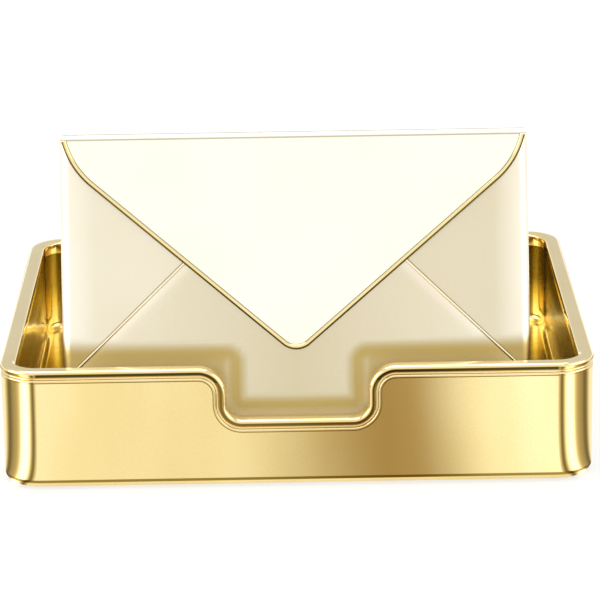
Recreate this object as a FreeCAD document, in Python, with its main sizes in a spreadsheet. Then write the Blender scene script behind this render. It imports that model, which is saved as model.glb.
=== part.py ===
import FreeCAD, Part
import math
import os
import Sketcher

# Letter tray with an envelope-shaped letter case standing in it.
# Origin: middle of the footprint, on the surface that the tray rests on.
# X runs along the front, -Y is the front with the finger notch, +Z is up.

SIZES = [
    # tray
    ("tray_width", 330.0),
    ("tray_depth", 256.0),
    ("foot_stand", 1.0),
    ("rim_top", 70.0),
    ("rim_corner_radius", 21.5),
    ("rim_bead_width", 8.8),
    ("rim_bead_height", 3.8),
    ("rim_fillet_height", 1.4),
    ("rim_band_height", 1.9),
    ("rim_groove_depth", 1.2),
    ("rim_lip", 0.3),
    ("rim_outer_round", 1.9),
    ("rim_inner_round", 1.3),
    ("rim_tongue_depth", 2.5),
    ("rim_tongue_gap", 0.1),
    ("skin_sheet", 0.8),
    ("shell_edge_radius", 5.0),
    ("floor_height", 12.5),
    ("floor_edge_radius", 4.5),
    # finger notch, measured on the open side of the bead
    ("notch_width", 79.2),
    ("notch_drop", 30.4),
    ("notch_top_radius", 15.0),
    ("notch_bottom_radius", 9.0),
    # feet, floor posts and their screws
    ("foot_radius", 8.0),
    ("foot_chamfer", 0.3),
    ("foot_inset", 30.0),
    ("post_radius", 5.0),
    ("post_bore_radius", 1.55),
    ("post_bore_depth", 8.0),
    ("post_side_inset", 55.0),
    ("post_end_inset", 58.0),
    ("screw_radius", 1.5),
    ("screw_hole_radius", 1.6),
    ("screw_head_radius", 3.0),
    ("screw_head_height", 0.7),
    ("post_screw_length", 7.0),
    # socket that the case stands in
    ("socket_end_inset", 31.3),
    ("socket_sheet", 1.5),
    ("socket_front_height", 11.0),
    ("socket_back_height", 40.0),
    ("socket_gap", 0.3),
    ("pad_back_thickness", 1.0),
    ("pad_recess_radius", 3.4),
    ("pad_recess_depth", 1.0),
    ("socket_screw_inset", 18.0),
    ("socket_screw_length", 5.6),
    ("socket_nut_radius", 3.2),
    ("socket_nut_height", 2.4),
    ("socket_nut_gap", 0.05),
    # letter case
    ("case_side_inset", 33.7),
    ("case_height", 173.5),
    ("case_depth", 14.0),
    ("case_set_back", 18.0),
    ("case_lean", 18.25),
    ("case_sheet", 1.0),
    ("case_nest_gap", 0.1),
    ("case_side_round", 6.0),
    ("case_bottom_round", 2.5),
    ("case_back_round", 2.0),
    ("leaf_top_gap", 0.3),
    ("leaf_lap", 10.0),
    ("seam_side_height", 38.8),
    ("seam_angle", 43.8),
    ("seam_width", 1.8),
    ("seam_height", 0.5),
    ("seam_round", 0.7),
    ("throat_offset", 14.0),
    ("throat_tip_radius", 14.0),
    ("leaf_rivet_low", 30.0),
    ("leaf_rivet_high", 33.5),
    ("leaf_rivet_inset", 4.5),
    # flap
    ("flap_sheet", 1.2),
    ("flap_stand_off", 1.7),
    ("flap_fold_radius", 3.4),
    ("flap_tip_drop", 122.2),
    ("flap_shoulder_lift", 9.9),
    ("flap_tip_radius", 12.0),
    ("flap_shoulder_radius", 48.0),
    ("flap_side_inset", 1.3),
    ("flap_corner_drop", 2.7),
    ("flap_bead_width", 3.0),
    ("flap_bead_height", 2.2),
    ("flap_bead_round", 1.3),
    # piano hinge along the case's top back edge
    ("hinge_end_inset", 11.3),
    ("hinge_sheet", 0.8),
    ("hinge_leaf_height", 12.0),
    ("hinge_leaf_reach", 10.0),
    ("hinge_barrel_radius", 2.2),
    ("hinge_bore_radius", 1.15),
    ("hinge_pin_radius", 1.1),
    ("hinge_end_play", 0.3),
    ("hinge_clearance", 0.3),
    ("hinge_web_gap", 0.5),
    ("stop_lip_reach", 5.0),
    ("stop_lip_gap", 0.1),
    ("rivet_radius", 1.2),
    ("rivet_hole_gap", 0.05),
    ("rivet_head_radius", 2.1),
    ("rivet_head_height", 0.6),
    ("hinge_rivet_drop", 7.0),
    ("hinge_rivet_reach", 7.0),
    ("hinge_rivet_inset", 24.0),
    # how far a cut runs past what it cuts
    ("overrun", 5.0),
]

KNUCKLES = 5
CASE_KNUCKLES = (0, 2, 4)
FLAP_KNUCKLES = (1, 3)
HINGE_RIVETS = 5
LEAF_RIVETS = 3
SOCKET_SCREW_SHARES = (-1, -1 / 3, 1 / 3, 1)

doc = FreeCAD.newDocument("letter_tray")
sheet = doc.addObject("Spreadsheet::Sheet", "sizes")
for row, (alias, number) in enumerate(SIZES, start=1):
    sheet.set("A%d" % row, alias)
    sheet.set("B%d" % row, str(number))
    sheet.setAlias("B%d" % row, alias)
doc.recompute()

# Formulas shared by several pieces, written in the sheet's names.
RIM_BAND = "(sizes.rim_bead_height + sizes.rim_fillet_height + sizes.rim_band_height)"
SKIN_TOP = "(sizes.rim_top - %s)" % RIM_BAND
SHELL_INSET = "sizes.rim_lip"
LINER_INSET = "(sizes.rim_bead_width - sizes.rim_lip - sizes.skin_sheet)"
FLOOR_TOP = "(sizes.foot_stand + sizes.floor_height)"
SOCKET_BASE_TOP = "(%s + sizes.socket_sheet)" % FLOOR_TOP
POST_X = "(sizes.tray_width / 2 - sizes.post_side_inset)"
POST_Y = "(sizes.tray_depth / 2 - sizes.post_end_inset)"
CASE_WIDTH = "(sizes.tray_width - 2 * sizes.case_side_inset)"
SOCKET_LENGTH = "(%s - 2 * sizes.socket_end_inset)" % CASE_WIDTH
HINGE_LENGTH = "(%s - 2 * sizes.hinge_end_inset)" % CASE_WIDTH
CASE_Y = "(sizes.case_set_back - sizes.tray_depth / 2)"
CASE_Z = "(%s + sizes.pad_back_thickness + sizes.case_depth * sin(sizes.case_lean * 1 deg))" % SOCKET_BASE_TOP
PAN_SIDE = "(sizes.case_sheet + sizes.case_nest_gap)"
HINGE_Z = "(sizes.case_height - sizes.hinge_barrel_radius)"
HINGE_Y = "(sizes.case_depth + sizes.hinge_sheet - sizes.hinge_barrel_radius)"
WEB_UNDER = "(sizes.case_height - sizes.flap_sheet)"
WEB_END = "(%s - sizes.hinge_barrel_radius - sizes.hinge_web_gap)" % HINGE_Y
HINGE_RIVET_PITCH = "((%s - 2 * sizes.hinge_rivet_inset) / %d)" % (HINGE_LENGTH, HINGE_RIVETS - 1)
LEAF_RIVET_Y = "(sizes.case_depth - sizes.leaf_rivet_inset)"
LEAF_RIVET_STEP = "((sizes.case_height - sizes.leaf_rivet_low - sizes.leaf_rivet_high) / %d)" % (
    LEAF_RIVETS - 1)


def number(formula):
    """Value of a formula written in the sheet's names."""
    value = sheet.evalExpression(formula)
    return float(getattr(value, "Value", value))


def size(alias):
    """Value of one named size."""
    return float(sheet.get(alias))


def vec(x, y, z=0):
    return FreeCAD.Vector(x, y, z)


def new_body(label):
    body = doc.addObject("PartDesign::Body", label)
    body.Label = label
    return body


def new_sketch(body, name, role, offset="0"):
    """Sketch on one of the body's origin planes, moved along its normal by a formula."""
    sketch = body.newObject("Sketcher::SketchObject", body.Label + "_" + name)
    plane = [feature for feature in body.Origin.OriginFeatures if feature.Role == role][0]
    sketch.AttachmentSupport = [(plane, "")]
    sketch.MapMode = "FlatFace"
    if offset != "0":
        sketch.setExpression("AttachmentOffset.Base.z", offset)
    return sketch


def draw(sketch, segments):
    """Draws lines (two points) and arcs (three points) and fixes them where they are."""
    for segment in segments:
        if len(segment) == 2:
            index = sketch.addGeometry(Part.LineSegment(*segment), False)
        else:
            index = sketch.addGeometry(Part.Arc(*segment), False)
        sketch.addConstraint(Sketcher.Constraint("Block", index))


def polygon(points):
    """Closed run of lines through the points."""
    return [(point, points[(index + 1) % len(points)]) for index, point in enumerate(points)]


def arc(centre, radius, start, end):
    """Start, middle and end point of an arc, with its angles in degrees."""
    angles = [math.radians(start), math.radians((start + end) / 2), math.radians(end)]
    return tuple(centre + vec(radius * math.cos(a), radius * math.sin(a)) for a in angles)


def mirrored(segments):
    """The same segments on the other side of the sketch's vertical axis, run backwards."""
    flipped = []
    for segment in reversed(segments):
        flipped.append(tuple(vec(-point.x, point.y) for point in reversed(segment)))
    return flipped


def rounded_rectangle(sketch, width, depth, radius):
    """Centred rectangle with round corners; its sizes are bound to three formulas."""
    x = number(width) / 2
    y = number(depth) / 2
    r = number(radius)
    corners = [(x, -y), (x, y), (-x, y), (-x, -y)]
    centres = [vec(cx - math.copysign(r, cx), cy - math.copysign(r, cy)) for cx, cy in corners]
    rounds = [arc(centre, r, 90 * turn - 90, 90 * turn) for turn, centre in enumerate(centres)]
    for turn in range(4):
        sketch.addGeometry(Part.LineSegment(rounds[turn - 1][2], rounds[turn][0]), False)
    for turn in range(4):
        sketch.addGeometry(Part.Arc(*rounds[turn]), False)
    rules = []
    for turn in range(4):
        rules.append(Sketcher.Constraint("Tangent", turn, 2, turn + 4, 1))
        rules.append(Sketcher.Constraint("Tangent", turn + 4, 2, (turn + 1) % 4, 1))
    for turn in range(1, 4):
        rules.append(Sketcher.Constraint("Equal", 4, turn + 4))
    rules.append(Sketcher.Constraint("Symmetric", 0, 1, 0, 2, -2))
    rules.append(Sketcher.Constraint("Symmetric", 1, 1, 1, 2, -1))
    rules.append(Sketcher.Constraint("Horizontal", 2))
    rules.append(Sketcher.Constraint("Vertical", 3))
    sketch.addConstraint(rules)
    bound = [("width", Sketcher.Constraint("DistanceX", 3, 1, 1, 1, 2 * x), width),
             ("depth", Sketcher.Constraint("DistanceY", 0, 1, 2, 1, 2 * y), depth),
             ("radius", Sketcher.Constraint("Radius", 4, r), radius)]
    for name, rule, formula in bound:
        sketch.renameConstraint(sketch.addConstraint(rule), name)
        sketch.setExpression("Constraints." + name, formula)


def pad(body, sketch, length, reverse=False):
    feature = body.newObject("PartDesign::Pad", sketch.Label + "_pad")
    feature.Profile = sketch
    feature.Reversed = reverse
    feature.setExpression("Length", length)
    doc.recompute()
    return feature


def cut(body, sketch, length=None, reverse=False):
    """Pocket, through everything when it has no length; it must take material away."""
    before = body.Shape.Volume
    feature = body.newObject("PartDesign::Pocket", sketch.Label + "_cut")
    feature.Profile = sketch
    feature.Reversed = reverse
    if length is None:
        feature.Type = "ThroughAll"
    else:
        feature.setExpression("Length", length)
    doc.recompute()
    if not body.Shape.Volume < before:
        raise RuntimeError("%s cuts nothing" % feature.Label)
    return feature


def edges_where(shape, test):
    """Names of the edges whose every vertex and middle point pass the test."""
    names = []
    for index, edge in enumerate(shape.Edges, start=1):
        middle = edge.valueAt((edge.FirstParameter + edge.LastParameter) / 2)
        points = [vertex.Point for vertex in edge.Vertexes] + [middle]
        if all(test(point) for point in points):
            names.append("Edge%d" % index)
    return names


def near(value, target):
    return abs(value - target) < 1e-4


def fillet(body, radius, test):
    """Rounds the edges that pass the test."""
    base = body.Tip
    names = edges_where(base.Shape, test)
    if not names:
        raise RuntimeError("no edge to round on %s" % body.Label)
    feature = body.newObject("PartDesign::Fillet", base.Label + "_round")
    feature.Base = (base, names)
    feature.setExpression("Radius", radius)
    doc.recompute()
    return feature


def round_long_edges(body, radius, front, shortest):
    """Rounds the front edges of a bead, but not the short ones across its ends."""
    base = body.Tip
    names = [name for name in edges_where(base.Shape, lambda point: near(point.y, front))
             if base.Shape.getElement(name).Length > shortest]
    feature = body.newObject("PartDesign::Fillet", body.Label + "_round")
    feature.Base = (base, names)
    feature.setExpression("Radius", radius)
    doc.recompute()
    return feature


def hollow_out(body, wall, top):
    """Leaves a wall of even thickness, open at the top face."""
    base = body.Tip
    names = []
    for index, face in enumerate(base.Shape.Faces, start=1):
        if all(near(vertex.Point.z, top) for vertex in face.Vertexes):
            names.append("Face%d" % index)
    feature = body.newObject("PartDesign::Thickness", body.Label + "_wall")
    feature.Base = (base, names)
    feature.Reversed = True
    feature.setExpression("Value", wall)
    doc.recompute()
    return feature


def primitive(kind, name, place, turn=None, **formulas):
    """Part primitive with its sizes bound to formulas, at a place given by three formulas."""
    solid = doc.addObject("Part::" + kind, name)
    for key, formula in formulas.items():
        solid.setExpression(key, formula)
    if turn is not None:
        solid.Placement = FreeCAD.Placement(vec(0, 0), turn)
    for axis, formula in zip("xyz", place):
        solid.setExpression("Placement.Base." + axis, formula)
    return solid


def join(name, parts):
    solid = doc.addObject("Part::MultiFuse", name)
    solid.Shapes = parts
    return solid


def subtract(name, base, tool):
    solid = doc.addObject("Part::Cut", name)
    solid.Base = base
    solid.Tool = tool
    return solid


def group(label, solids):
    """One node that holds several separate solids."""
    node = doc.addObject("Part::Compound", label)
    node.Label = label
    node.Links = solids
    return node


def lean_with_case(node):
    """Puts a piece, built upright at the case's own corner, at its place in the tray."""
    axis = vec(1, 0)
    node.Placement = FreeCAD.Placement(vec(0, number(CASE_Y), number(CASE_Z)),
                                       FreeCAD.Rotation(axis, -size("case_lean")))
    node.setExpression("Placement.Base.y", CASE_Y)
    node.setExpression("Placement.Base.z", CASE_Z)


def notch_line(offset):
    """Left half of the notch's outline in X and Z, at a distance below the bead's open side."""
    half = size("notch_width") / 2 + offset
    top = size("rim_top") - offset
    bottom = top - size("notch_drop")
    upper = size("notch_top_radius") - offset
    lower = size("notch_bottom_radius") + offset
    first = arc(vec(-half - upper, top - upper), upper, 90, 0)
    second = arc(vec(lower - half, bottom + lower), lower, 180, 270)
    return [first, (first[2], second[0]), second, (second[2], vec(0, bottom))]


def cut_notch(body):
    """Opens the front wall down to the underside of the rim bead."""
    left = notch_line(number(RIM_BAND))
    high = size("rim_top") + size("overrun")
    start = left[0][0]
    above = vec(start.x, high)
    outline = left + mirrored(left)
    outline += polygon([vec(-start.x, start.y), vec(-start.x, high), above, start])[:3]
    sketch = new_sketch(body, "notch", "XZ_Plane")
    draw(sketch, outline)
    cut(body, sketch, reverse=True)


def skin(label, inset, bottom, edge_radius):
    """Drawn pan with a round bottom edge and the finger notch in its front wall."""
    body = new_body(label)
    outline = new_sketch(body, "outline", "XY_Plane", bottom)
    rounded_rectangle(outline, "sizes.tray_width - 2 * %s" % inset, "sizes.tray_depth - 2 * %s" % inset,
                      "sizes.rim_corner_radius - %s" % inset)
    pad(body, outline, "%s - %s" % (SKIN_TOP, bottom))
    base = number(bottom)
    fillet(body, edge_radius, lambda point: near(point.z, base))
    hollow_out(body, "sizes.skin_sheet", number(SKIN_TOP))
    cut_notch(body)
    return body


def cut_round_holes(body, name, radius, places, plane, depth_from, depth):
    """Round holes along Z, at a list of places."""
    holes = new_sketch(body, name, plane, depth_from)
    for x, y in places:
        index = holes.addGeometry(Part.Circle(vec(x, y), vec(0, 0, 1), number(radius)), False)
        holes.addConstraint(Sketcher.Constraint("Block", index))
    cut(body, holes, depth, reverse=True)


def post_places():
    columns = (-number(POST_X), 0, number(POST_X))
    rows = (-number(POST_Y), number(POST_Y))
    return [(x, y) for y in rows for x in columns]


def socket_screw_places():
    spread = number(SOCKET_LENGTH) / 2 - size("socket_screw_inset")
    middle = socket_point(size("case_depth") / 2, number(SOCKET_BASE_TOP)).x
    return [(share * spread, middle) for share in SOCKET_SCREW_SHARES]


def socket_point(depth, height):
    """Point on a plane that leans with the case, at a depth behind its front, at a height in the tray."""
    lean = math.radians(size("case_lean"))
    rise = height - number(CASE_Z) + depth * math.sin(lean)
    return vec(number(CASE_Y) + rise * math.tan(lean) + depth * math.cos(lean), height)


def case_point(depth, rise):
    """Point of the case's own frame, as Y and Z of the tray."""
    lean = math.radians(size("case_lean"))
    return vec(number(CASE_Y) + rise * math.sin(lean) + depth * math.cos(lean),
               number(CASE_Z) + rise * math.cos(lean) - depth * math.sin(lean))


def outer_shell():
    body = skin("outer_shell", SHELL_INSET, "sizes.foot_stand", "sizes.shell_edge_radius")
    cut_round_holes(body, "screw_holes", "sizes.screw_hole_radius", post_places(), "XY_Plane",
                    "0", "sizes.foot_stand + sizes.skin_sheet")
    return body


def inner_liner():
    bottom = "(%s - sizes.skin_sheet)" % FLOOR_TOP
    body = skin("inner_liner", LINER_INSET, bottom, "(sizes.floor_edge_radius + sizes.skin_sheet)")
    cut_round_holes(body, "socket_holes", "sizes.screw_hole_radius", socket_screw_places(), "XY_Plane",
                    bottom, "sizes.skin_sheet")
    return body


def bead_profile(sketch):
    """Section of the rim in Y and Z: bead, half-round fillet and band under it, tongue between the skins."""
    front = -size("tray_depth") / 2
    back = front + size("rim_bead_width")
    top = size("rim_top")
    low = top - size("rim_bead_height")
    ledge = low - size("rim_fillet_height")
    under = ledge - size("rim_band_height")
    outer = size("rim_outer_round")
    inner = size("rim_inner_round")
    groove = size("rim_groove_depth")
    lip = size("rim_lip")
    bulge = size("rim_fillet_height") / 2
    side = lip + size("skin_sheet") + size("rim_tongue_gap")
    tongue = under - size("rim_tongue_depth")
    rounds = [arc(vec(back - lip, under + lip), lip, 270, 360),
              arc(vec(back - inner, top - inner), inner, 0, 90),
              arc(vec(front + outer, top - outer), outer, 90, 180),
              arc(vec(front + groove, low + groove), groove, 180, 270),
              arc(vec(front + groove, low - bulge), bulge, 90, 270),
              arc(vec(front + groove, ledge - groove + lip), groove - lip, 90, 180),
              arc(vec(front + 2 * lip, under + lip), lip, 180, 270)]
    corners = [vec(front + side, under), vec(front + side, tongue), vec(back - side, tongue),
               vec(back - side, under)]
    segments = []
    for first, second in zip(rounds, rounds[1:]):
        segments.append(first)
        if (first[2] - second[0]).Length > 1e-6:
            segments.append((first[2], second[0]))
    segments.append(rounds[-1])
    run = [rounds[-1][2]] + corners + [rounds[0][0]]
    segments += list(zip(run, run[1:]))
    draw(sketch, segments)


def rim_bead():
    """Rim profile swept round three sides, and along the front through the notch."""
    body = new_body("rim_bead")
    half_width = size("rim_bead_width") / 2
    x = size("tray_width") / 2 - half_width
    y = size("tray_depth") / 2 - half_width
    radius = size("rim_corner_radius") - half_width
    middle = "(sizes.rim_top - %s / 2)" % RIM_BAND
    end = x - radius
    corner = arc(vec(-end, radius - y), radius, 270, 180)
    back = arc(vec(-end, y - radius), radius, 180, 90)
    left = [corner, (corner[2], back[0]), back, (back[2], vec(0, y))]
    start_formula = "-(sizes.tray_width / 2 - sizes.rim_corner_radius)"

    round_path = new_sketch(body, "round_path", "XY_Plane", middle)
    draw(round_path, left + mirrored(left))
    round_section = new_sketch(body, "round_section", "YZ_Plane", start_formula)
    bead_profile(round_section)
    sweep(body, round_section, round_path)

    front = notch_line(number(RIM_BAND) / 2)
    front.insert(0, (vec(-end, front[0][0].y), front[0][0]))
    front_path = new_sketch(body, "front_path", "XZ_Plane", "(sizes.tray_depth - sizes.rim_bead_width) / 2")
    draw(front_path, front + mirrored(front))
    front_section = new_sketch(body, "front_section", "YZ_Plane", start_formula)
    bead_profile(front_section)
    sweep(body, front_section, front_path)
    return body


def sweep(body, section, path):
    before = body.Shape.Volume if body.Tip else 0
    feature = body.newObject("PartDesign::AdditivePipe", section.Label + "_pipe")
    feature.Profile = section
    feature.Spine = (path, [])
    doc.recompute()
    if not body.Shape.Volume > before:
        raise RuntimeError("%s adds nothing" % feature.Label)
    return feature


def feet():
    """Four thin rubber feet on the shell's flat underside."""
    x = "(sizes.tray_width / 2 - sizes.foot_inset)"
    y = "(sizes.tray_depth / 2 - sizes.foot_inset)"
    places = [("front_left_foot", "-" + x, "-" + y), ("front_right_foot", x, "-" + y),
              ("rear_left_foot", "-" + x, y), ("rear_right_foot", x, y)]
    for label, at_x, at_y in places:
        disc = primitive("Cylinder", label + "_disc", (at_x, at_y, "sizes.foot_chamfer"),
                         Radius="sizes.foot_radius", Height="sizes.foot_stand - sizes.foot_chamfer")
        edge = primitive("Cone", label + "_edge", (at_x, at_y, "0"), Height="sizes.foot_chamfer",
                         Radius1="sizes.foot_radius - sizes.foot_chamfer", Radius2="sizes.foot_radius")
        foot = join(label, [disc, edge])
        foot.Label = label


def floor_posts():
    """Posts between the shell's floor and the liner's floor, with the screws that hold them."""
    base = "(sizes.foot_stand + sizes.skin_sheet)"
    posts = []
    screws = []
    for index, (x, y) in enumerate(post_places()):
        at_x = "%d * %s" % (round(x / number(POST_X)), POST_X)
        at_y = "%d * %s" % (round(y / number(POST_Y)), POST_Y)
        post = primitive("Cylinder", "post_%d" % index, (at_x, at_y, base), Radius="sizes.post_radius",
                         Height="%s - sizes.skin_sheet - %s" % (FLOOR_TOP, base))
        bore = primitive("Cylinder", "post_bore_%d" % index, (at_x, at_y, base),
                         Radius="sizes.post_bore_radius", Height="sizes.post_bore_depth")
        posts.append(subtract("bored_post_%d" % index, post, bore))
        head = primitive("Cylinder", "post_screw_head_%d" % index,
                         (at_x, at_y, "sizes.foot_stand - sizes.screw_head_height"),
                         Radius="sizes.screw_head_radius", Height="sizes.screw_head_height")
        shank = primitive("Cylinder", "post_screw_shank_%d" % index, (at_x, at_y, "sizes.foot_stand"),
                          Radius="sizes.screw_radius", Height="sizes.post_screw_length")
        screws.append(join("post_screw_%d" % index, [head, shank]))
    group("floor_posts", posts)
    group("post_screws", screws)


def case_socket():
    """Folded channel on the raised floor; its two walls lean with the case."""
    body = new_body("case_socket")
    low = number(FLOOR_TOP)
    base = number(SOCKET_BASE_TOP)
    wall = size("socket_sheet")
    front_in = -size("case_sheet") - size("socket_gap")
    back_in = size("case_depth") + size("socket_gap")
    front_rise = size("socket_front_height")
    back_rise = size("socket_back_height")
    points = [socket_point(front_in - wall, low), case_point(front_in - wall, front_rise),
              case_point(front_in, front_rise), socket_point(front_in, base), socket_point(back_in, base),
              case_point(back_in, back_rise), case_point(back_in + wall, back_rise),
              socket_point(back_in + wall, low)]
    section = new_sketch(body, "section", "YZ_Plane", "-%s / 2" % SOCKET_LENGTH)
    draw(section, polygon(points))
    pad(body, section, SOCKET_LENGTH)
    cut_round_holes(body, "screw_holes", "sizes.screw_hole_radius", socket_screw_places(), "XY_Plane",
                    FLOOR_TOP, "sizes.socket_sheet")
    return body


def socket_pad():
    """Rubber wedge under the case, recessed over the screw heads."""
    body = new_body("socket_pad")
    base = number(SOCKET_BASE_TOP)
    front = -size("case_sheet")
    back = size("case_depth")
    points = [socket_point(front, base), case_point(front, 0), case_point(back, 0), socket_point(back, base)]
    section = new_sketch(body, "section", "YZ_Plane", "-%s / 2" % SOCKET_LENGTH)
    draw(section, polygon(points))
    pad(body, section, SOCKET_LENGTH)
    cut_round_holes(body, "recesses", "sizes.pad_recess_radius", socket_screw_places(), "XY_Plane",
                    SOCKET_BASE_TOP, "sizes.pad_recess_depth")
    return body


def socket_screws():
    screws = []
    nuts = []
    under = "(%s - sizes.skin_sheet)" % FLOOR_TOP
    for index, (x, y) in enumerate(socket_screw_places()):
        at = (str(x), str(y))
        head = primitive("Cylinder", "socket_screw_head_%d" % index, at + (SOCKET_BASE_TOP,),
                         Radius="sizes.screw_head_radius", Height="sizes.screw_head_height")
        shank = primitive("Cylinder", "socket_screw_shank_%d" % index,
                          at + (SOCKET_BASE_TOP + " - sizes.socket_screw_length",),
                          Radius="sizes.screw_radius", Height="sizes.socket_screw_length")
        screws.append(join("socket_screw_%d" % index, [head, shank]))
        below = at + (under + " - sizes.socket_nut_height",)
        body = primitive("Cylinder", "socket_nut_body_%d" % index, below,
                         Radius="sizes.socket_nut_radius", Height="sizes.socket_nut_height")
        bore = primitive("Cylinder", "socket_nut_bore_%d" % index, below,
                         Radius="sizes.screw_radius + sizes.socket_nut_gap", Height="sizes.socket_nut_height")
        nuts.append(subtract("socket_nut_%d" % index, body, bore))
    group("socket_screws", screws)
    group("socket_nuts", nuts)


def rectangle(left, right, low, high):
    return polygon([vec(left, low), vec(right, low), vec(right, high), vec(left, high)])


def hinge_rivet_places():
    middle = (HINGE_RIVETS - 1) / 2
    return [(index - middle) * number(HINGE_RIVET_PITCH) for index in range(HINGE_RIVETS)]


def case_back():
    """Back pan of the case: back wall with flanges at the sides and the bottom."""
    body = new_body("case_back")
    half = number(CASE_WIDTH) / 2 - number(PAN_SIDE)
    low = number(PAN_SIDE)
    high = number(HINGE_Z) - size("hinge_barrel_radius") - size("hinge_clearance")
    sheet_size = size("case_sheet")
    block = new_sketch(body, "block", "XZ_Plane", "-sizes.case_depth")
    draw(block, rectangle(-half, half, low, high))
    pad(body, block, "sizes.case_depth - sizes.case_side_round")
    back = size("case_depth")
    fillet(body, "sizes.case_back_round",
           lambda point: near(point.y, back) and (near(abs(point.x), half) or near(point.z, low)))
    inside = half - sheet_size
    hollow = new_sketch(body, "hollow", "XZ_Plane", "-sizes.case_side_round")
    draw(hollow, rectangle(-inside, inside, low + sheet_size, high + size("overrun")))
    cut(body, hollow, "sizes.case_depth - sizes.case_side_round - sizes.case_sheet")
    rivet_holes = new_sketch(body, "hinge_rivet_holes", "XZ_Plane", "-sizes.case_depth")
    hole = size("rivet_radius") + size("rivet_hole_gap")
    for x in hinge_rivet_places():
        place = vec(x, number(HINGE_Z) - size("hinge_rivet_drop"))
        index = rivet_holes.addGeometry(Part.Circle(place, vec(0, 0, 1), hole), False)
        rivet_holes.addConstraint(Sketcher.Constraint("Block", index))
    cut(body, rivet_holes, "sizes.case_sheet", reverse=True)
    cut_side_holes(body, "-%s / 2 - sizes.overrun" % CASE_WIDTH, "%s + 2 * sizes.overrun" % CASE_WIDTH)
    lean_with_case(body)
    return body


def cut_side_holes(body, start, length):
    """Holes along X for the rivets of the side flanges."""
    holes = new_sketch(body, "side_rivet_holes", "YZ_Plane", start)
    radius = size("rivet_radius") + size("rivet_hole_gap")
    for index in range(LEAF_RIVETS):
        place = vec(number(LEAF_RIVET_Y), size("leaf_rivet_low") + index * number(LEAF_RIVET_STEP))
        circle = holes.addGeometry(Part.Circle(place, vec(0, 0, 1), radius), False)
        holes.addConstraint(Sketcher.Constraint("Block", circle))
    cut(body, holes, length, reverse=True)


def flap_corner():
    """Upper right corner of the flap, where its side meets its top."""
    return vec(number(CASE_WIDTH) / 2 - size("flap_side_inset"),
               size("case_height") - size("flap_corner_drop"))


def flap_slope():
    """Slope of the flap's straight edges, in radians; they pass below the corner by the shoulder's lift."""
    radius = size("flap_tip_radius")
    corner = flap_corner()
    rise = corner.y - size("case_height") + size("flap_tip_drop") - radius
    reach = math.hypot(rise, corner.x)
    return math.acos((size("flap_shoulder_lift") - radius) / reach) - math.atan2(corner.x, rise)


def flap_apex():
    """Height at which the flap's two straight edges would meet."""
    slope = flap_slope()
    tip = size("case_height") - size("flap_tip_drop")
    return tip - size("flap_tip_radius") * (1 / math.cos(slope) - 1)


def throat_height(x):
    """Height of the pocket's V-shaped mouth under the flap, at a distance from the middle."""
    slope = flap_slope()
    return flap_apex() + size("throat_offset") / math.cos(slope) + abs(x) * math.tan(slope)


def seam_height(x, lap=0):
    """Height of the seam between a side leaf and the bottom leaf, or of the lap under it."""
    slope = math.radians(size("seam_angle"))
    side = number(CASE_WIDTH) / 2 - size("case_side_round")
    return size("seam_side_height") + (side - abs(x)) * math.tan(slope) - lap / math.cos(slope)


def seam_throat_distance(lap=0):
    """Distance from the middle at which the seam, or its lap, meets the mouth."""
    rise = math.tan(flap_slope())
    fall = math.tan(math.radians(size("seam_angle")))
    return (seam_height(0, lap) - throat_height(0)) / (rise + fall)


def side_leaf(label, side):
    """Leaf with a soft round outer edge and a flange along the case's side."""
    body = new_body(label)
    outer = number(CASE_WIDTH) / 2
    round_size = size("case_side_round")
    thick = size("case_sheet")
    inner = seam_throat_distance(size("leaf_lap")) - size("overrun")
    back = size("case_depth")
    low = number(PAN_SIDE)
    centre = vec(outer - round_size, round_size)
    outside = arc(centre, round_size, 0, -90)
    inside = arc(centre, round_size - thick, -90, 0)
    segments = [(vec(outer, back), outside[0]), outside, (outside[2], vec(inner, 0)),
                (vec(inner, 0), vec(inner, thick)), (vec(inner, thick), inside[0]), inside,
                (inside[2], vec(outer - thick, back)), (vec(outer - thick, back), vec(outer, back))]
    if side < 0:
        segments = mirrored(segments)
    section = new_sketch(body, "section", "XY_Plane", PAN_SIDE)
    draw(section, segments)
    top = WEB_UNDER + " - sizes.leaf_top_gap"
    pad(body, section, "%s - %s" % (top, PAN_SIDE))
    lap = size("leaf_lap")
    strip = outer - round_size - lap
    high = number(top) + size("overrun")
    reach = outer - round_size
    knee = seam_throat_distance(lap)
    mouth = (high - throat_height(0)) / math.tan(flap_slope())
    far = inner - size("overrun")
    bottom = low - size("overrun")
    points = [vec(strip, bottom), vec(strip, seam_height(strip, lap)), vec(knee, throat_height(knee)),
              vec(min(mouth, reach), min(high, throat_height(reach))), vec(min(mouth, reach), high),
              vec(far, high), vec(far, bottom)]
    if mouth < reach:
        points.pop(4)
    outline = polygon(points)
    if side < 0:
        outline = mirrored(outline)
    front = new_sketch(body, "front", "XZ_Plane", "0")
    draw(front, outline)
    cut(body, front, "sizes.case_side_round")
    start = "%s / 2 - sizes.case_side_round" % CASE_WIDTH
    if side < 0:
        start = "-%s / 2 - sizes.overrun" % CASE_WIDTH
    cut_side_holes(body, start, "sizes.case_side_round + sizes.overrun")
    lean_with_case(body)
    return body


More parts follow.
